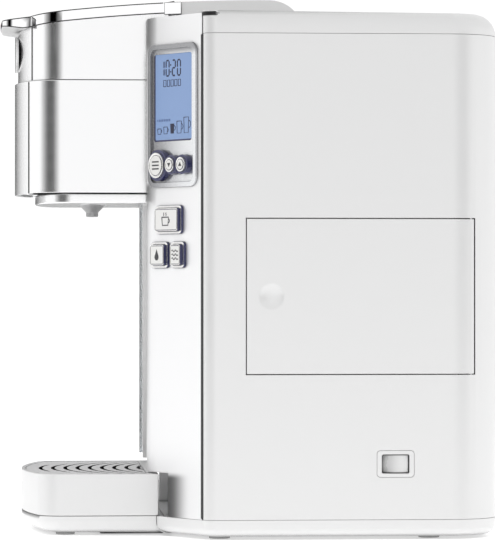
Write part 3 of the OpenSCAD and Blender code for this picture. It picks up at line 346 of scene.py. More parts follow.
def plastic(name, colour, rough=0.3, scale=900.0, relief=0.05, spread=0.03, shine=0.0, worn=0.25,
            crevice_shade=0.0, mirror=0.0):
    """Moulded plastic or rubber. A little of the mirror share gives it a pearl sheen."""
    made, tree, shader, place = blank(name)
    g = use(tree, grain, place, (-900, 100), Scale=scale)
    w = use(tree, wear, place, (-900, -200), Spread=worn)
    low = [c * (1 - spread) for c in colour]
    edge = [min(1.0, c * 1.06 + 0.03) for c in colour]
    two_tone(tree, shader, g.outputs["Shade"], low, colour, edge, w.outputs["Mask"], crevice_shade)
    uneven(tree, shader, g.outputs["Polish"], rough - 0.02, rough + 0.02)
    bumped(tree, shader, g.outputs["Height"], relief, GRAIN_DEPTH)
    set_up(shader, Metallic=mirror, Coat_Weight=shine, Coat_Roughness=0.08)
    return made


def metal(name, colour, rough, stretch=(60, 60, 1), relief=0.03, metallic=1.0, spread=0.03,
          crevice_shade=0.0):
    """Polished, plated or brushed metal, or paint that copies it."""
    made, tree, shader, place = blank(name)
    b = use(tree, brush, place, (-900, 100), Stretch=stretch)
    w = use(tree, wear, place, (-900, -200), Spread=0.3)
    low = [c * (1 - spread) for c in colour]
    # The lighter shade on rounded edges is partly wear and partly a painted highlight.
    edge = [min(1.0, c * 1.05) for c in colour]
    two_tone(tree, shader, b.outputs["Polish"], low, colour, edge, w.outputs["Mask"], crevice_shade)
    uneven(tree, shader, b.outputs["Polish"], max(0.01, rough * 0.95), rough * 1.05)
    bumped(tree, shader, b.outputs["Height"], relief, BRUSH_DEPTH)
    set_up(shader, Metallic=metallic)
    return made


print("mixers for plastics and metals ready")

# %% Finishes
# The crevice share of each finish sets how much painted shade falls in its creases and gaps.
white = plastic("white_plastic", (0.79, 0.79, 0.79), 0.30, relief=0.02, spread=0.01, worn=0.0,
                crevice_shade=0.7, mirror=0.22)
inner_white = plastic("inner_white", (0.60, 0.60, 0.595), 0.5)
# A near-black painted shadow for the inside of the drip tray's basin.
basin_painted_shadow = plastic("basin_painted_shadow", (0.06, 0.06, 0.062), 0.55)
silver = metal("silver_paint", (0.93, 0.93, 0.935), 0.20, (1, 1, 90), 0.0, 0.92, 0.008, crevice_shade=0.8)
satin = metal("satin_silver", (0.84, 0.835, 0.825), 0.20, (70, 70, 2), 0.03, 0.85, crevice_shade=0.85)
chrome = metal("chrome", (0.97, 0.97, 0.975), 0.035, (2, 2, 2), 0.0, 1.0, 0.01)
# Near-black for painted dark reflections on edges and painted shadows in slots and gaps.
shade_and_reflection_black = plastic("edge_shade_reflection_black", (0.012, 0.012, 0.013), 0.35, spread=0.2, worn=0.0)
# A dark grey for the beads that paint the shadow in the gaps between panels.
gap_shadow_grey = plastic("gap_shadow_grey", (0.045, 0.045, 0.047), 0.5, spread=0.2, worn=0.0)
steel = metal("steel", (0.62, 0.62, 0.63), 0.25, (80, 2, 80), 0.05)
plate_grey = metal("plate_grey", (0.74, 0.735, 0.74), 0.4, (2, 90, 90), 0.05, 0.3)
brass = metal("brass", (0.72, 0.52, 0.22), 0.3, (40, 40, 2), 0.05)
navy = plastic("navy_plastic", (0.028, 0.030, 0.110), 0.22, shine=0.4, spread=0.2, worn=0.1)
pale = metal("pale_key", (0.80, 0.795, 0.78), 0.30, (2, 60, 60), 0.02, metallic=0.25)
grey = plastic("grey_plastic", (0.27, 0.27, 0.275), 0.45, spread=0.08)
nozzle_grey = metal("nozzle_grey", (0.36, 0.36, 0.365), 0.38, (60, 60, 1), 0.03, metallic=0.55)
frame_grey = plastic("frame_grey", (0.16, 0.165, 0.17), 0.5, spread=0.08)
black = plastic("black_plastic", (0.022, 0.022, 0.024), 0.4, spread=0.2)
rubber = plastic("black_rubber", (0.030, 0.030, 0.030), 0.75, 2200.0, 0.3, 0.15)
foot = plastic("foot_rubber", (0.47, 0.47, 0.47), 0.7, 2200.0, 0.3, 0.08)
silicone = plastic("hose_silicone", (0.66, 0.68, 0.69), 0.35, spread=0.06)
board = plastic("board_green", (0.035, 0.14, 0.06), 0.4, 350.0, 0.3, 0.25)
ink = plastic("display_ink", (0.008, 0.012, 0.045), 0.35, 1500.0, 0.02, 0.2)
faint_ink = plastic("faint_ink", (0.10, 0.17, 0.36), 0.35, 1500.0, 0.02, 0.2)
key_ink = plastic("key_ink", (0.03, 0.03, 0.035), 0.45, 1500.0, 0.02, 0.2)
print("finishes:", len(bpy.data.materials))

# %% [markdown]
# The display's window is lit from behind, so part of its light is its own, and its blue varies a
# little over the pane. The tank is clear plastic with a cool tint.

# %% Display and tank finishes
def pane(name, scale, low, high, rough, depth, **settings):
    """A smooth see-through or lit finish."""
    made, tree, shader, place = blank(name)
    g = use(tree, grain, place, (-900, 100), Scale=scale)
    two_tone(tree, shader, g.outputs["Shade"], low, high)
    uneven(tree, shader, g.outputs["Polish"], *rough)
    bumped(tree, shader, g.outputs["Height"], 0.02, depth)
    set_up(shader, **settings)
    return made


lcd = pane("display_blue", 1600.0, (0.200, 0.300, 0.520), (0.215, 0.320, 0.545), (0.12, 0.2),
           BRUSH_DEPTH, Emission_Color=(0.20, 0.33, 0.62, 1), Emission_Strength=0.10)
tank = pane("tank_clear", 300.0, (0.93, 0.96, 0.98), (0.96, 0.98, 0.99), (0.05, 0.14),
            GRAIN_DEPTH, Transmission_Weight=0.9, IOR=1.12)
print("display and tank finishes made")

# %% [markdown]
# ## Tools for the work
# A frame node is a heap of loose triangles. A copy is welded, its flat faces are joined again, and
# then its sharp edges get the small radius that every mould has. The copy rides on the same body
# and stands for the node.

# %% Tools
def rest():
    """Leaves edit mode with nothing selected."""
    if bpy.context.object and bpy.context.object.mode != "OBJECT":
        bpy.ops.object.mode_set(mode="OBJECT")
    bpy.ops.object.select_all(action="DESELECT")


def take(obj):
    """Makes one object the only one selected, and active."""
    rest()
    obj.select_set(True)
    bpy.context.view_layer.objects.active = obj
    return obj


def edit(obj, action="DESELECT"):
    """Opens an object for editing by faces, with nothing or all of it selected."""
    take(obj)
    bpy.ops.object.mode_set(mode="EDIT")
    bpy.ops.mesh.select_mode(type="FACE")
    bpy.ops.mesh.select_all(action=action)


def choose(obj, wanted):
    """Selects the faces that a test accepts, in edit mode."""
    mesh = bmesh.from_edit_mesh(obj.data)
    mesh.normal_update()
    for face in mesh.faces:
        face.select_set(bool(wanted(face)))
    mesh.select_flush_mode()
    bmesh.update_edit_mesh(obj.data)


def coat(obj, *finishes):
    """Gives an object its finishes, the first of them all over."""
    for finish in finishes:
        obj.data.materials.append(finish)


def recoat(obj, index, wanted):
    """Gives the faces that a test accepts another of the object's finishes."""
    for face in obj.data.polygons:
        if wanted(face):
            face.material_index = index


def weld_copy(name, source):
    """A welded copy of a frame node, with its flat faces whole again."""
    rest()
    made = bpy.data.objects.new(name, nodes[source].data.copy())
    bpy.context.scene.collection.objects.link(made)
    made.data.materials.clear()
    edit(made, "SELECT")
    bpy.ops.mesh.remove_doubles(threshold=0.00001)
    bpy.ops.mesh.dissolve_limited(angle_limit=math.radians(0.4))
    rest()
    return made


def soften(obj, width, segments=2, sharp=30):
    """Rounds every sharp edge by a small radius."""
    take(obj)
    bevel = obj.modifiers.new("mould_radius", "BEVEL")
    bevel.width = width
    bevel.segments = segments
    bevel.limit_method = "ANGLE"
    bevel.angle_limit = math.radians(sharp)
    bevel.use_clamp_overlap = True
    bpy.ops.object.modifier_apply(modifier=bevel.name)


def smooth(obj, angle=38):
    """Shades curves smooth, keeps corners crisp and keeps wide faces flat beside a radius."""
    take(obj)
    bpy.ops.object.shade_smooth_by_angle(angle=math.radians(angle))
    level = obj.modifiers.new("flat_faces", "WEIGHTED_NORMAL")
    level.keep_sharp = True
    level.weight = 100
    bpy.ops.object.modifier_apply(modifier=level.name)


def dress(obj, source, finish, replaces=True):
    """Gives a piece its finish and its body."""
    if not obj.data.materials:
        coat(obj, finish)
    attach(obj, body_of[source])
    if replaces:
        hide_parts(source)
    rest()


def skin(source, name, finish, width):
    """The usual way for a moulding: weld, round, smooth and dress."""
    made = weld_copy(name, source)
    soften(made, width)
    smooth(made)
    dress(made, source, finish)


print("tools ready")


# %% [markdown]
# ## Rounded shells
# The top cap and the bases have edges as round as a soap bar. A bevel that wide would fold over
# itself on the small front corners, so the wall is cut into rings and each ring is moved in by
# the circle's own amount. The inner wall of the cap moves with it.

# %% Round-over
TINY, RINGS = 1e-6, 8
UPRIGHT = 0.2                   # a face whose normal leans less than this is part of a wall


def round_over(obj, flat_z, tip_z, centre, share_at, inner):
    """Bends the outer wall between two heights into a quarter circle that ends at tip_z."""
    radius = abs(tip_z - flat_z)
    way = 1 if tip_z > flat_z else -1
    for i in range(1, RINGS):
        z = flat_z + way * radius * math.sin(math.radians(90 * i / RINGS))
        edit(obj, "SELECT")
        bpy.ops.mesh.bisect(plane_co=(0, 0, z), plane_no=(0, 0, 1))
    rest()
    mesh = bmesh.new()
    mesh.from_mesh(obj.data)
    mesh.normal_update()
    moves = []
    for v in mesh.verts:
        up = (v.co.z - flat_z) * way
        if up <= TINY:
            continue
        walls = [f.normal for f in v.link_faces if abs(f.normal.z) < UPRIGHT]
        if not walls:
            continue
        facing = sum(walls, Vector())
        facing.z = 0
        if facing.length < TINY:
            continue
        facing.normalize()
        outward = facing.dot(Vector((v.co.x, v.co.y, 0)) - centre) > 0
        if not outward and not inner:
            continue
        inset = radius - math.sqrt(max(0.0, radius * radius - min(up, radius) ** 2))
        moves.append((v, facing * (-1 if outward else 1) * inset * share_at(v.co)))
    for v, move in moves:
        v.co += move
    mesh.to_mesh(obj.data)
    mesh.free()
    return len(moves)


print("round_over ready")

# %% Top cap and bases
SIDE_BAND, REAR_BAND = 45 * MM, 6 * MM      # how far in from the sides and the back it reaches
FADE = 7 * MM                               # length over which it fades out towards the front
cap_low, cap_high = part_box("top_cap")
base_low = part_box("base_pan")[0]
foot_low, foot_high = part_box("tray_base")
flat_y = side_low.y + 10.5 * MM


def everywhere(p):
    """The base pan is round all along its edge."""
    return 1.0


def cap_share(p):
    """The cap's fillet runs along the side and the back, and fades out at the front flange."""
    if abs(p.x) < side_high.x - SIDE_BAND and p.y < side_high.y - REAR_BAND:
        return 0.0
    t = min(1.0, max(0.0, (p.y - flat_y) / FADE))
    return t * t * (3 - 2 * t)


def foot_share(p):
    """The tray's base keeps its flat back, where it meets the base pan."""
    return float(p.z > base_low.z - 0.2 * MM and p.y < foot_high.y - 1 * MM)


# Node, piece, where the curve starts and ends, the middle of its outline, share, inner wall too.
SHELLS = [
    ("top_cap", "top_cap_shell", cap_low.z + 0.6 * MM, cap_high.z, 30 * MM, cap_share, True),
    ("base_pan", "base_shell", base_low.z + 6 * MM, base_low.z, 40 * MM, everywhere, False),
    ("tray_base", "tray_foot_shell", foot_high.z - 0.6 * MM, base_low.z,
     (foot_low.y + foot_high.y) / 2, foot_share, False),
]
moved = 0
for source, name, flat_z, tip_z, middle_y, share_at, inner in SHELLS:
    shell = weld_copy(name, source)
    moved += round_over(shell, flat_z, tip_z, Vector((0, middle_y, 0)), share_at, inner)
    smooth(shell, 40)
    dress(shell, source, white)
print("round-over moved", moved, "vertices")

# %% [markdown]
# ## Mouldings that only need their edges
# Most parts have the right shape already. They are listed with their finish and, in millimetres,
# their edge radius: large on soft covers, small on parts that meet in a seam.

# %% Plain mouldings
PLAIN = [
    ("side_cover", "side_shell", white, 0.35), ("rear_cover", "rear_shell", white, 0.35),
    ("rear_top_cover", "arched_cover", white, 0.7), ("bay_wall", "bay_panel", white, 0.3),
    ("reservoir_dock", "tank_dock", white, 0.4),
    ("round_surround", "round_key_skirt", navy, 0.4),
    ("storage_door", "door_panel", white, 0.35),
    ("compartment_liner", "pocket_liner", inner_white, 0.5),
    ("switch_frame", "switch_surround", white, 0.4),
    ("head_lower_shell", "head_shell", silver, 0.35),
    ("head_front_panel", "head_front", silver, 0.35),
    ("head_bottom_pan", "head_pan", silver, 0.8), ("nozzle", "spout", nozzle_grey, 0.35),
    ("lid_shell", "lid_body", silver, 0.35), ("lid_front_panel", "lid_front", silver, 0.35),
    ("reservoir_lid", "tank_cover", white, 1.0), ("feet", "feet_pads", foot, 0.5),
    ("pod_holder", "pod_cup", black, 0.4), ("lid_seal", "pod_seal", rubber, 0.5),
    ("cord_gland", "cord_bush", rubber, 0.4),
]
for source, name, finish, width in PLAIN:
    skin(source, name, finish, width * MM)
print("mouldings:", len(PLAIN))

# %% [markdown]
# ## The display column
# The column is painted silver, and its broad face catches soft shadows: at the top and the middle
# of its front edge, beside the head, and in the scoop behind the tray where fingers reach in to
# pull it out. The paint holds them as slow dark fades, placed with the part's own coordinates.

# %% Soft shadows
press = next(j for j in frame["joints"] if j["name"] == "brew_press")
inward = Vector(press["axis"]).normalized()
across = Vector((-inward.y, inward.x, 0)) * -1
upward = Vector((0, 0, 1))

fade, fi, fo = group("soft_fade", [("Vector", VECTOR, None), ("Axis", VECTOR, (1, 0, 0)),
                                   ("Dark At", FLOAT, 0.0), ("Clear At", FLOAT, 1.0)],
                     [("Mask", FLOAT)])
along = node(fade, "ShaderNodeVectorMath", (-400, 0), operation="DOT_PRODUCT")
ease = node(fade, "ShaderNodeMapRange", (-100, 0), interpolation_type="SMOOTHERSTEP", To_Min=1.0,
            To_Max=0.0)
wire(
    fade,
    (fi.outputs["Vector"], along.inputs[0]), (fi.outputs["Axis"], along.inputs[1]),
    (along.outputs["Value"], ease.inputs["Value"]),
    (fi.outputs["Dark At"], ease.inputs["From Min"]),
    (fi.outputs["Clear At"], ease.inputs["From Max"]), (ease.outputs[0], fo.inputs["Mask"]),
)


def painted_shade(finish, patches, shade):
    """Adds soft dark patches to a finish. A patch is a list of fades that are multiplied."""
    tree = finish.node_tree
    shader = tree.nodes["Principled BSDF"]
    place = next(n for n in tree.nodes if n.type == "TEX_COORD")

    def joined(operation, first, second=None, amount=0.0):
        made = node(tree, "ShaderNodeMath", operation=operation)
        made.inputs[1].default_value = amount
        wire(tree, *[(m, made.inputs[i]) for i, m in enumerate((first, second)) if m])
        return made.outputs[0]

    total = None
    for fades, strength in patches:
        mask = None
        for axis, dark_at, clear_at in fades:
            g = use(tree, fade, place, Axis=axis, Dark_At=dark_at, Clear_At=clear_at)
            mask = joined("MULTIPLY", mask, g.outputs["Mask"]) if mask else g.outputs["Mask"]
        mask = joined("MULTIPLY", mask, amount=strength)
        total = joined("MAXIMUM", total, mask) if total else mask
    before = shader.inputs["Base Color"].links[0].from_socket
    tree.links.new(over(tree, total, before, shade), shader.inputs["Base Color"])


print("soft shadows ready")

# %% Column
SCOOP_DROP = 1.6 * MM           # how much lower the finger scoop's roof sits
EDGE_FADE = 19 * MM             # how far a shadow reaches from the column's front edge
column = weld_copy("column_shell", "control_column")
scoop_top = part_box("drip_tray")[1].z + 2.5 * MM
for v in column.data.vertices:
    if abs(v.co.z - scoop_top) < 0.3 * MM:
        v.co.z -= SCOOP_DROP
soften(column, 0.7 * MM)
smooth(column)
# The seam beside the side cover is the column's outermost upright edge.
seam_at = max(column.data.vertices, key=lambda v: v.co.x + (v.co.z > 60 * MM) * 1e-4).co
face_left = min(v.co.dot(across) for v in column.data.vertices if v.co.x > 40 * MM)
face_right = seam_at.dot(across)
column_silver = metal("column_silver", (0.87, 0.87, 0.875), 0.33, (1, 1, 90), 0.0, 0.7, 0.008,
                      crevice_shade=0.8)
bezel_low, bezel_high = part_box("panel_bezel")
RIGHTWARD, UP, DOWN = tuple(across), (0, 0, 1), (0, 0, -1)
front_edge = (RIGHTWARD, face_left, face_left + EDGE_FADE)
# Each fade is a direction, the place along it that is dark and the place that is clear.
painted_shade(column_silver, [
    ([front_edge, (DOWN, -(bezel_high.z + 3 * MM), -(bezel_high.z - 8 * MM))], 0.88),
    ([front_edge, (DOWN, -(bezel_low.z - 2 * MM), -(bezel_low.z - 19 * MM)),
      (UP, bezel_low.z, bezel_low.z + 4 * MM)], 0.85),
    ([(RIGHTWARD, face_right - 32 * MM, face_right - 9 * MM),
      (UP, scoop_top - 5 * MM, scoop_top)], 0.95),
], (0.06, 0.06, 0.06))
dress(column, "control_column", column_silver)
bezel_silver = metal("bezel_silver", (0.80, 0.81, 0.825), 0.22, (70, 70, 2), 0.02, 0.85, crevice_shade=0.9)
painted_shade(bezel_silver, [
    ([(RIGHTWARD, face_left + 6 * MM, face_right - 2 * MM)], 0.75),
    ([(DOWN, -(bezel_high.z - 2 * MM), -(bezel_high.z - 8 * MM))], 0.75),
], (0.20, 0.20, 0.21))
skin("panel_bezel", "display_bezel", bezel_silver, 1.0 * MM)
print("column made, face", round(1000 * (face_right - face_left), 1), "mm wide")

# %% [markdown]
# ## Shadow gaps
# Panels never touch: the mould leaves a fine gap between them, dark with shade. A thin dark bead,
# a painted shadow, in each gap keeps the line visible from far away, where the gap is too fine to see.


# %% Beads
def bead(name, x, y, z0, z1, r, source):
    """An upright dark bead with rounded ends, a painted shadow for a gap between panels."""
    rest()
    bpy.ops.mesh.primitive_cylinder_add(vertices=12, radius=r, depth=z1 - z0,
                                        location=(x, y, (z0 + z1) / 2))
    made = take(bpy.context.object)
    made.name = name
    bpy.ops.object.transform_apply()
    soften(made, r * 0.4, 2)
    smooth(made, 40)
    dress(made, source, gap_shadow_grey, replaces=False)


SIDES = ((1, "right"), (-1, "left"))
bead("column_gap_right", seam_at.x + 0.1 * MM, seam_at.y + 0.5 * MM, side_low.z + 0.5 * MM,
     side_high.z - 0.5 * MM, 1.1 * MM, "control_column")
for side, tag in SIDES:
    for source in ("lid_front_panel", "head_front_panel"):
        low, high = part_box(source)
        wall = [v.co for v in nodes[source].data.vertices
                if abs(v.co.x * side - high.x) < 0.3 * MM]
        front_y = min(c.y for c in wall)
        top_z = high.z - 0.4 * MM
        if source == "lid_front_panel":
            top_z = max(c.z for c in wall) - 0.3 * MM
        bead(source.replace("panel", "gap_") + tag, side * (high.x + 0.15 * MM),
             front_y + 0.05 * MM, low.z + 0.3 * MM, top_z, 0.45 * MM, source)
print("beads made")

# %% [markdown]
# ## The lid's chrome plate
# Chrome shows its edges as thin black lines, since a rounded edge gathers the dark parts of the
# room. A thin band round the plate's upright edge therefore gets the black finish, a painted dark
# reflection, and its underside is plain white, a painted bright reflection.

# %% Lid plate
LINE = 0.6 * MM                 # width of the black line along each edge
HINGE_END = -48 * MM            # the edge behind this is hidden by the hinge
plate = weld_copy("lid_chrome", "lid_plate")
coat(plate, chrome, shade_and_reflection_black, white)


def on_edge(normal, centre):
    """Whether a face belongs to the plate's upright edge."""
    return abs(normal.z) < 0.35 and centre.y < HINGE_END


edit(plate)
choose(plate, lambda f: on_edge(f.normal, f.calc_center_median()))
bpy.ops.mesh.inset(thickness=LINE, depth=0, use_boundary=True)
bright = {f.index for f in bmesh.from_edit_mesh(plate.data).faces if f.select}
rest()
# Painted reflections on the chrome: white on the underside, black on the outer edge band.
recoat(plate, 2, lambda f: f.normal.z < -0.85)
recoat(plate, 1, lambda f: f.index not in bright and on_edge(f.normal, f.center))
smooth(plate)
dress(plate, "lid_plate", chrome)
plate_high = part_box("lid_plate")[1]
print("lid plate made,", len(bright), "bright faces on its edge")

# %% [markdown]
# ## The drip plate
# The plate is a thin sheet with nine curved slots. The sheet comes from the plate's own outline;
# the slots are cut again with one set of curved cutters, so that they can be widest in the middle.


# %% Flat shapes
def flat_shape(corners, push):
    """A closed body: a flat shape from its corners, in metres, pulled out one way."""
    rest()
    bpy.ops.mesh.primitive_circle_add(vertices=len(corners), radius=1, fill_type="NGON")
    made = bpy.context.object
    for v, corner in zip(made.data.vertices, corners):
        v.co = corner
    edit(made, "SELECT")
    bpy.ops.mesh.extrude_region_move(TRANSFORM_OT_translate={"value": push})
    face_out(made)
    return made


def face_out(obj):
    """Makes all faces of a closed body point outwards."""
    edit(obj, "SELECT")
    bpy.ops.mesh.normals_make_consistent(inside=False)
    rest()


def ngon(points, thick):
    """A flat shape from its corners in the face's x and z, given in millimetres."""
    return flat_shape([(x * MM, 0, z * MM) for x, z in points], (0, -thick, 0))


def join_all(pieces, name):
    """Joins several pieces into one."""
    rest()
    for p in pieces:
        p.select_set(True)
    bpy.context.view_layer.objects.active = pieces[0]
    if len(pieces) > 1:
        bpy.ops.object.join()
    made = bpy.context.view_layer.objects.active
    made.name = name
    return made


print("flat shapes ready")

# %% Drip plate
BOW, PITCH, SLOTS, FIRST = 128.0, 7.25, 9, 8.5      # slot radius, spacing, number, first, in mm
SHORTEST, LONGER, LONGEST = 36, 12, 66.0            # half lengths in mm, and the step between
HALF_WIDTH, TAPER, STEPS = 1.15, 0.55, 14           # mm in the middle, share lost, points
CUT_DEPTH = 30 * MM
low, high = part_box("drip_plate")
top_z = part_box("drip_tray")[1].z - 0.6 * MM
sheet = weld_copy("slotted_plate", "drip_plate")
for v in sheet.data.vertices:
    if v.co.z > high.z - 0.2 * MM:
        v.co.z = top_z
edit(sheet, "SELECT")
bpy.ops.mesh.convex_hull()
rest()
cutters = []
for i in range(SLOTS):
    tip = low.y * 1000 + FIRST + PITCH * i
    half_angle = math.degrees(math.asin(min(LONGEST, SHORTEST + LONGER * i) / BOW))
    sides = ([], [])
    for k in range(-STEPS, STEPS + 1):
        a = math.radians(half_angle * k / STEPS)
        thin = HALF_WIDTH * (1 - TAPER * abs(k / STEPS) ** 1.5)
        for edge, r in zip(sides, (BOW + thin, BOW - thin)):
            edge.append((r * math.sin(a), tip + BOW - r * math.cos(a)))
    cutters.append(ngon(sides[0] + sides[1][::-1], CUT_DEPTH))
cutter = join_all(cutters, "slot_cutter")
cutter.data.transform(Matrix.Translation((0, 0, top_z - CUT_DEPTH / 2))
                      @ Matrix.Rotation(math.radians(-90), 4, "X"))
face_out(cutter)
print("cutter made for", len(cutters), "slots")
take(sheet)
cut = sheet.modifiers.new("slots", "BOOLEAN")
cut.operation = "DIFFERENCE"
cut.solver = "EXACT"
cut.object = cutter
bpy.ops.object.modifier_apply(modifier=cut.name)
bpy.data.objects.remove(cutter)
coat(sheet, plate_grey, shade_and_reflection_black)
# The walls of the slots get the near-black finish, a painted shadow, so the slots read dark.
recoat(sheet, 1, lambda f: f.normal.z < 0.5 and f.center.z < top_z - 0.1 * MM
       and abs(f.center.x) <= high.x - 1.5 * MM and f.center.y <= high.y - 1 * MM)
smooth(sheet, 20)
dress(sheet, "drip_plate", plate_grey)
print("plate made with", len(sheet.data.polygons), "faces")

# %% [markdown]
# ## Rocker
# The power rocker is a soft barrel in a square frame. Its face fades from shade to light, as a
# curved key does under a soft lamp.

# %% Rocker
rocker = weld_copy("rocker", "power_rocker")
rocker_low, rocker_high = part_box("power_rocker")
soften(rocker, 0.6 * MM, 3)
smooth(rocker, 45)
rocker_white = plastic("rocker_white", (0.80, 0.80, 0.80), 0.28, relief=0.02, spread=0.01,
                       worn=0.0, crevice_shade=0.9, mirror=0.15)
painted_shade(rocker_white, [
    ([((0, 1, 0), rocker_low.y, rocker_high.y)], 0.45),
], (0.30, 0.30, 0.30))
dress(rocker, "power_rocker", rocker_white)
print("rocker made")

# %% [markdown]
# ## Top shadow strip and hinge cheeks
# Round the cap's front corner runs a short black strip, a painted shadow of the gap under the
# cap's edge. On each side of the lid's hinge a chrome cheek hides the hinge barrel and carries on the line of the
# lid's plate.

# %% Shadow strip and cheeks
# The black strip paints the shadow in the gap under the cap's front edge; BEND is its radius.
BEND, BEND_Y = 10.5 * MM, -19 * MM          # the gasket's radius and the place of its centre
ARC_FROM, ARC_SPAN, ARC_STEPS = -62, 76, 14
arc = []
for k in range(ARC_STEPS + 1):
    a = math.radians(ARC_FROM + ARC_SPAN * k / ARC_STEPS)
    arc.append((side_high.x - BEND + BEND * math.cos(a), BEND_Y + BEND * math.sin(a)))
back_arc = [(x - 2.2 * MM, y + 1.2 * MM) for x, y in arc]
# A thin black strip along the cap's front corner: a painted shadow.
shadow_strip = flat_shape([(x, y, cap_high.z - 2.9 * MM) for x, y in arc + back_arc[::-1]],
                    (0, 0, 2.1 * MM))
shadow_strip.name = "cap_shadow_strip"
soften(shadow_strip, 0.25 * MM)
smooth(shadow_strip)
dress(shadow_strip, "top_cap", shade_and_reflection_black, replaces=False)

cover_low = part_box("rear_top_cover")[0]
roof_z = max(v.co.z for v in nodes["rear_top_cover"].data.vertices
             if v.co.y < cover_low.y + 1 * MM)
CHEEK = [(-10, -7.6), (-0.3, -7.2), (-0.3, -0.1), (-10, -0.5)]     # y and z from the roof's edge
for side, tag in SIDES:
    cheek = flat_shape([(side * (plate_high.x + 0.1 * MM), cover_low.y + y * MM, roof_z + z * MM)
                        for y, z in CHEEK], (side * 0.9 * MM, 0, 0))
    cheek.name = "hinge_cheek_" + tag
    soften(cheek, 0.3 * MM)
    coat(cheek, chrome, shade_and_reflection_black)
    # Its slanted and rear faces get the near-black finish, a painted dark reflection, as on the plate's edge.
    recoat(cheek, 1, lambda f: 0.2 < abs(f.normal.z) < 0.93 or f.normal.y > 0.4)
    smooth(cheek)
    dress(cheek, "rear_top_cover", chrome, replaces=False)
print("gasket and cheeks made under a roof at", round(1000 * roof_z, 1), "mm")

# %% [markdown]
# ## Drip tray
# The drip tray is one white moulding. Its basin gets a near-black finish, a painted shadow, so
# that the slots above it read as dark arcs.

# %% Drip tray
tray = weld_copy("tray_shell", "drip_tray")
low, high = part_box("drip_tray")
soften(tray, 0.6 * MM)
coat(tray, white, basin_painted_shadow)


def in_basin(face):
    """Whether a face looks inwards, or lies low, between the tray's walls."""
    c = face.center
    outward = Vector((c.x, c.y - (low.y + high.y) / 2, 0))
    return (low.z + 1 * MM < c.z < high.z - 2 * MM and face.normal.dot(outward) < 1e-5
            and abs(c.x) < high.x - 3 * MM and low.y + 3 * MM < c.y < high.y - 3 * MM)


# The basin's inner faces get the painted shadow.
recoat(tray, 1, in_basin)
smooth(tray)
dress(tray, "drip_tray", white)
print("tray made")

# %% [markdown]
# ## Inner parts
# The works inside keep the frame's own shapes. They are hidden until a door, the lid or the tank
# moves, so a finish of their own is enough.

# %% Inner parts
INNER = {
    steel: ["rear_screws", "door_hinge_pin", "exit_needle", "entry_needle", "lid_hinge_bracket",
            "lid_hinge_pin", "reservoir_lid_pin", "valve_spring", "pump_impeller", "boiler"],
    frame_grey: ["inner_frame"], board: ["control_board", "power_board"],
    tank: ["reservoir_tank"], rubber: ["valve_poppet", "dock_seal"],
    grey: ["filter_holder", "air_pump"], black: ["pump_housing", "solenoid_valve"],
    brass: ["heater_band"], silicone: ["hoses"],
}
for finish, sources in INNER.items():
    for source in sources:
        obj = nodes[source]
        if not obj.material_slots:
            coat(obj, finish)
        for slot in obj.material_slots:
            slot.material = finish
print("frame parts with a finish:", sum(map(len, INNER.values())))

# %% [markdown]
# ## The display face
# The column's face is turned towards the front corner, so nothing on it lies along the frame's
# axes. The keys slide straight into it: their joint gives the inward direction, and the rest of a
# small set of axes follows. Parts are modelled flat at the origin and then laid on the face.

# %% Axes of the face
def on_face(source):
    """Middle and half sizes of a node along the face's own axes."""
    spans = []
    for axis in (across, inward, upward):
        reach_of = [v.co.dot(axis) for v in nodes[source].data.vertices]
        spans.append((min(reach_of), max(reach_of)))
    mid = [sum(s) / 2 for s in spans]
    half = [(s[1] - s[0]) / 2 for s in spans]
    centre = across * mid[0] + inward * mid[1] + upward * mid[2]
    return centre, half


# Turns what was modelled at the origin: x goes across the face, y inwards and z up.
ON_FACE = Matrix((across, inward, upward)).transposed().to_4x4()
lens_mid, lens_half = on_face("display_lens")
print("face looks along", [round(c, 3) for c in -inward])
print("window in mm:", [round(2000 * h, 1) for h in lens_half])


# %% [markdown]
# ## Keys
# A key has a bright ring, a dark groove and a pale face; the groove's navy matches the skirt and
# is partly a painted shade. All three come from the key's own front face: inset it for the ring,
# push it in for the groove, inset again and pull it back out.

# %% Key caps
GROOVE, GROOVE_DEPTH, FACE_RISE = 0.35 * MM, 0.5 * MM, 0.45 * MM


def key_cap(source, name, ring, square):
    """A key with a ring, a groove and a face, made from its front face."""
    key = weld_copy(name, source)
    soften(key, 0.25 * MM)
    coat(key, satin, navy, pale)
    if square:
        recoat(key, 1, lambda f: abs(f.normal.dot(inward)) < 0.5)
    outmost = min(v.co.dot(inward) for v in key.data.vertices)
    edit(key)
    choose(key, lambda f: f.normal.dot(inward) < -0.99
           and f.calc_center_median().dot(inward) < outmost + 1e-5)
    bpy.ops.mesh.inset(thickness=ring, depth=0)
    bpy.ops.mesh.extrude_region_move(TRANSFORM_OT_translate={"value": inward * GROOVE_DEPTH})
    # The groove gets navy, partly a painted shade.
    key.active_material_index = 1
    bpy.ops.object.material_slot_assign()
    bpy.ops.mesh.inset(thickness=GROOVE, depth=0)
    key.active_material_index = 2
    bpy.ops.mesh.extrude_region_move(TRANSFORM_OT_translate={"value": inward * -FACE_RISE})
    bpy.ops.object.material_slot_assign()
    rest()
    smooth(key, 30)
    dress(key, source, satin)


# Key, ring width in millimetres, and whether it is square.
KEYS = [("menu", 1.0, False), ("down", 0.7, False), ("up", 0.7, False), ("brew", 0.25, True),
        ("hot_water", 0.25, True), ("rinse", 0.25, True)]
for key, ring, square in KEYS:
    key_cap(key + "_button", key + "_key", ring * MM, square)

skirts = weld_copy("square_key_skirts", "button_skirts")
soften(skirts, 0.3 * MM)
coat(skirts, navy, satin)
skirt_front = min(v.co.dot(inward) for v in skirts.data.vertices)
recoat(skirts, 1, lambda f: f.normal.dot(inward) < -0.95
       and f.center.dot(inward) < skirt_front + 0.2 * MM)
smooth(skirts, 30)
dress(skirts, "button_skirts", navy)
print("keys:", len(KEYS))


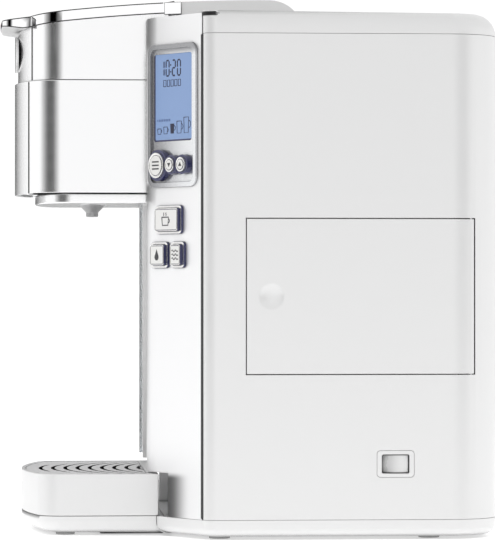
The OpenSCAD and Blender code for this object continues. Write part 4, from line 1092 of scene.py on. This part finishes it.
# %% [markdown]
# ## Signs on the keys
# The words on the keys are left out. Each key has a plain sign instead: lines for the menu,
# arrows for up and down, a cup, a drop and three waves. A sign is a thin raised print.

# %% Signs
def key_front(source):
    """The point in the middle of a key's pale face."""
    centre, half = on_face(source)
    return centre - inward * (half[1] - 0.05 * MM)


def bar(x, z, w, h):
    """Corners of an upright bar."""
    left, right, low, high = x - w / 2, x + w / 2, z - h / 2, z + h / 2
    return [(left, low), (right, low), (right, high), (left, high)]


def stroke(path, w):
    """Corners of a line of even width along a path."""
    left, right = [], []
    for i, p in enumerate(path):
        a = Vector(path[max(0, i - 1)])
        b = Vector(path[min(len(path) - 1, i + 1)])
        side = (b - a).normalized().orthogonal() * w / 2
        left.append((p[0] + side.x, p[1] + side.y))
        right.append((p[0] - side.x, p[1] - side.y))
    return left + right[::-1]


def ring_of(points, w):
    """Corners of a closed line of even width."""
    return stroke(points + points[:1], w)


def circle_path(r, a0, a1, n, x, z):
    """Points along an arc, angles in degrees."""
    return [(x + r * math.cos(math.radians(a0 + (a1 - a0) * i / n)),
             z + r * math.sin(math.radians(a0 + (a1 - a0) * i / n))) for i in range(n + 1)]


def mug(x, z, w, h, t, solid=False):
    """Outline of a mug with its handle, standing on z."""
    tw = w * 0.42
    cup = [(x - w / 2, z + h), (x - tw, z), (x + tw, z), (x + w / 2, z + h)]
    handle = stroke(circle_path(h * 0.24, 80, -80, 8, x + w * 0.47, z + h * 0.55), t * 0.9)
    if solid:
        return [cup, handle]
    return [ring_of(cup, t), handle]


def printed(name, shapes, thick, spot, source, finish, angle=0):
    """A raised print: flat shapes, joined and laid on the face at a spot."""
    made = join_all([ngon(s, thick) for s in shapes], name)
    made.data.transform(Matrix.Translation(spot) @ ON_FACE)
    if angle:
        smooth(made, angle)
    dress(made, source, finish, replaces=False)


SIGNS = {
    "menu_button": [bar(0, 2.0, 6.4, 0.8), bar(0, 0, 6.4, 0.8), bar(0, -2.0, 6.4, 0.8)],
    "down_button": [[(-1.5, 1.0), (0, -1.3), (1.5, 1.0)]],
    "up_button": [[(-1.5, -1.0), (1.5, -1.0), (0, 1.3)]],
    "brew_button": mug(-0.6, -3.2, 6.4, 4.6, 0.7) + [
        stroke([(-2.2, 2.2), (-1.7, 2.8), (-2.2, 3.4), (-1.7, 4.0)], 0.55),
        stroke([(0.0, 2.2), (0.5, 2.8), (0.0, 3.4), (0.5, 4.0)], 0.55)],
    "hot_water_button": [circle_path(1.9, -210, 30, 20, 0, -1.2) + [(0, 3.2)]],
    "rinse_button": [
        stroke([(-3 + 0.5 * i, z + 0.55 * math.sin(i * 1.05)) for i in range(13)], 0.55)
        for z in (-2.2, 0.0, 2.2)],
}
for source, strokes in SIGNS.items():
    printed(source.replace("button", "sign"), strokes, 0.1 * MM, key_front(source), source,
            key_ink, 30)
print("signs:", len(SIGNS))

# %% [markdown]
# ## The display
# The window is a tinted pane with a painted shade in navy on its sides and along its left and lower
# edges. On it stand the clock in seven-bar figures, a row of open blocks in place of a word, a small
# pointer with a row of dots, and five cups of rising size for the amount to brew, the chosen one filled.

# %% Window and its painted edge shade
lens = weld_copy("display_window", "display_lens")
coat(lens, lcd, navy)
edit(lens)
choose(lens, lambda f: f.normal.dot(inward) < -0.99)
bpy.ops.mesh.inset(thickness=0.9 * MM, depth=0)
rest()


def in_edge_shade(face):
    """Whether a face gets the painted shade: the sides, and the left and lower edges."""
    off = face.center - lens_mid
    return (off.dot(across) < -(lens_half[0] - 1.0 * MM) or off.z < -(lens_half[2] - 1.0 * MM)
            or face.normal.dot(inward) > -0.9)


recoat(lens, 1, in_edge_shade)
smooth(lens, 30)
dress(lens, "display_lens", lcd)
glass = lens_mid - inward * (lens_half[1] + 0.01 * MM)
print("window made with", len(lens.data.polygons), "faces")


# %% Figures
def seven_bar(figure, x, z, w, h, t):
    """The bars of one figure, with its lower left corner at x, z."""
    lit = {"0": "abcdef", "1": "bc", "2": "abged"}[figure]
    middle, gap, half = h / 2, t * 0.2, t / 2
    ends = {
        "a": ((x, z + h), (x + w, z + h)), "g": ((x, z + middle), (x + w, z + middle)),
        "d": ((x, z), (x + w, z)), "f": ((x, z + middle), (x, z + h)),
        "b": ((x + w, z + middle), (x + w, z + h)), "e": ((x, z), (x, z + middle)),
        "c": ((x + w, z), (x + w, z + middle)),
    }
    made = []
    for k in lit:
        (x0, z0), (x1, z1) = ends[k]
        if z0 == z1:
            x0, x1 = x0 + gap, x1 - gap
            made.append([(x0, z0), (x0 + half, z0 - half), (x1 - half, z0 - half), (x1, z0),
                         (x1 - half, z0 + half), (x0 + half, z0 + half)])
        else:
            z0, z1 = z0 + gap, z1 - gap
            made.append([(x0, z0), (x0 + half, z0 + half), (x0 + half, z1 - half), (x0, z1),
                         (x0 - half, z1 - half), (x0 - half, z0 + half)])
    return made


half_w, half_h = lens_half[0] * 1000, lens_half[2] * 1000
left, top = -half_w, half_h
figures = []
for figure, x in (("1", 6.2), ("0", 11.1), ("2", 17.1), ("0", 22.0)):
    figures += seven_bar(figure, left + x, top - 12.4, 2.9, 8.7, 0.95)
figures += [bar(left + 15.55, top - z, 0.9, 0.9) for z in (10.2, 6.3)]
figures += [ring_of(bar(left + 9.9 + 3.5 * i, top - 16.6, 2.3, 3.6), 0.5) for i in range(5)]
printed("display_clock", figures, 0.08 * MM, glass, "display_lens", ink)

pointer = [[(left + 2.0, top - 37.6), (left + 3.4, top - 36.9), (left + 3.4, top - 38.3)]]
pointer += [bar(left + 5.0 + 2.3 * i, top - 37.6, 1.7, 1.3) for i in range(5)]
printed("display_pointer", pointer, 0.06 * MM, glass, "display_lens", faint_ink)

CUPS = [(4.6, 3.4, 3.0), (10.6, 3.6, 3.9), (17.0, 3.7, 5.6), (23.6, 4.4, 6.8), (30.4, 4.6, 8.8)]
CHOSEN = 2
cups = []
for i, (x, w, h) in enumerate(CUPS):
    cups += mug(left + x, -half_h + 4.3, w, h, 0.45, solid=(i == CHOSEN))
printed("display_cups", cups, 0.08 * MM, glass, "display_lens", ink)
print("display pieces made")

# %% [markdown]
# ## The badge
# The lid's badge is an oval white plate with a thin dark outline and a rim. Its middle stays blank.

# %% Badge
badge = weld_copy("oval_badge", "badge")
coat(badge, white, shade_and_reflection_black)
soften(badge, 0.3 * MM)
recoat(badge, 1, lambda f: 0.15 < abs(f.normal.y) < 0.95)
edit(badge)
choose(badge, lambda f: f.normal.y < -0.99)
bpy.ops.mesh.inset(thickness=1.6 * MM, depth=0)
bpy.ops.mesh.extrude_region_move(TRANSFORM_OT_translate={"value": (0, 0.3 * MM, 0)})
rest()
smooth(badge, 35)
dress(badge, "badge", white)
print("badge made")
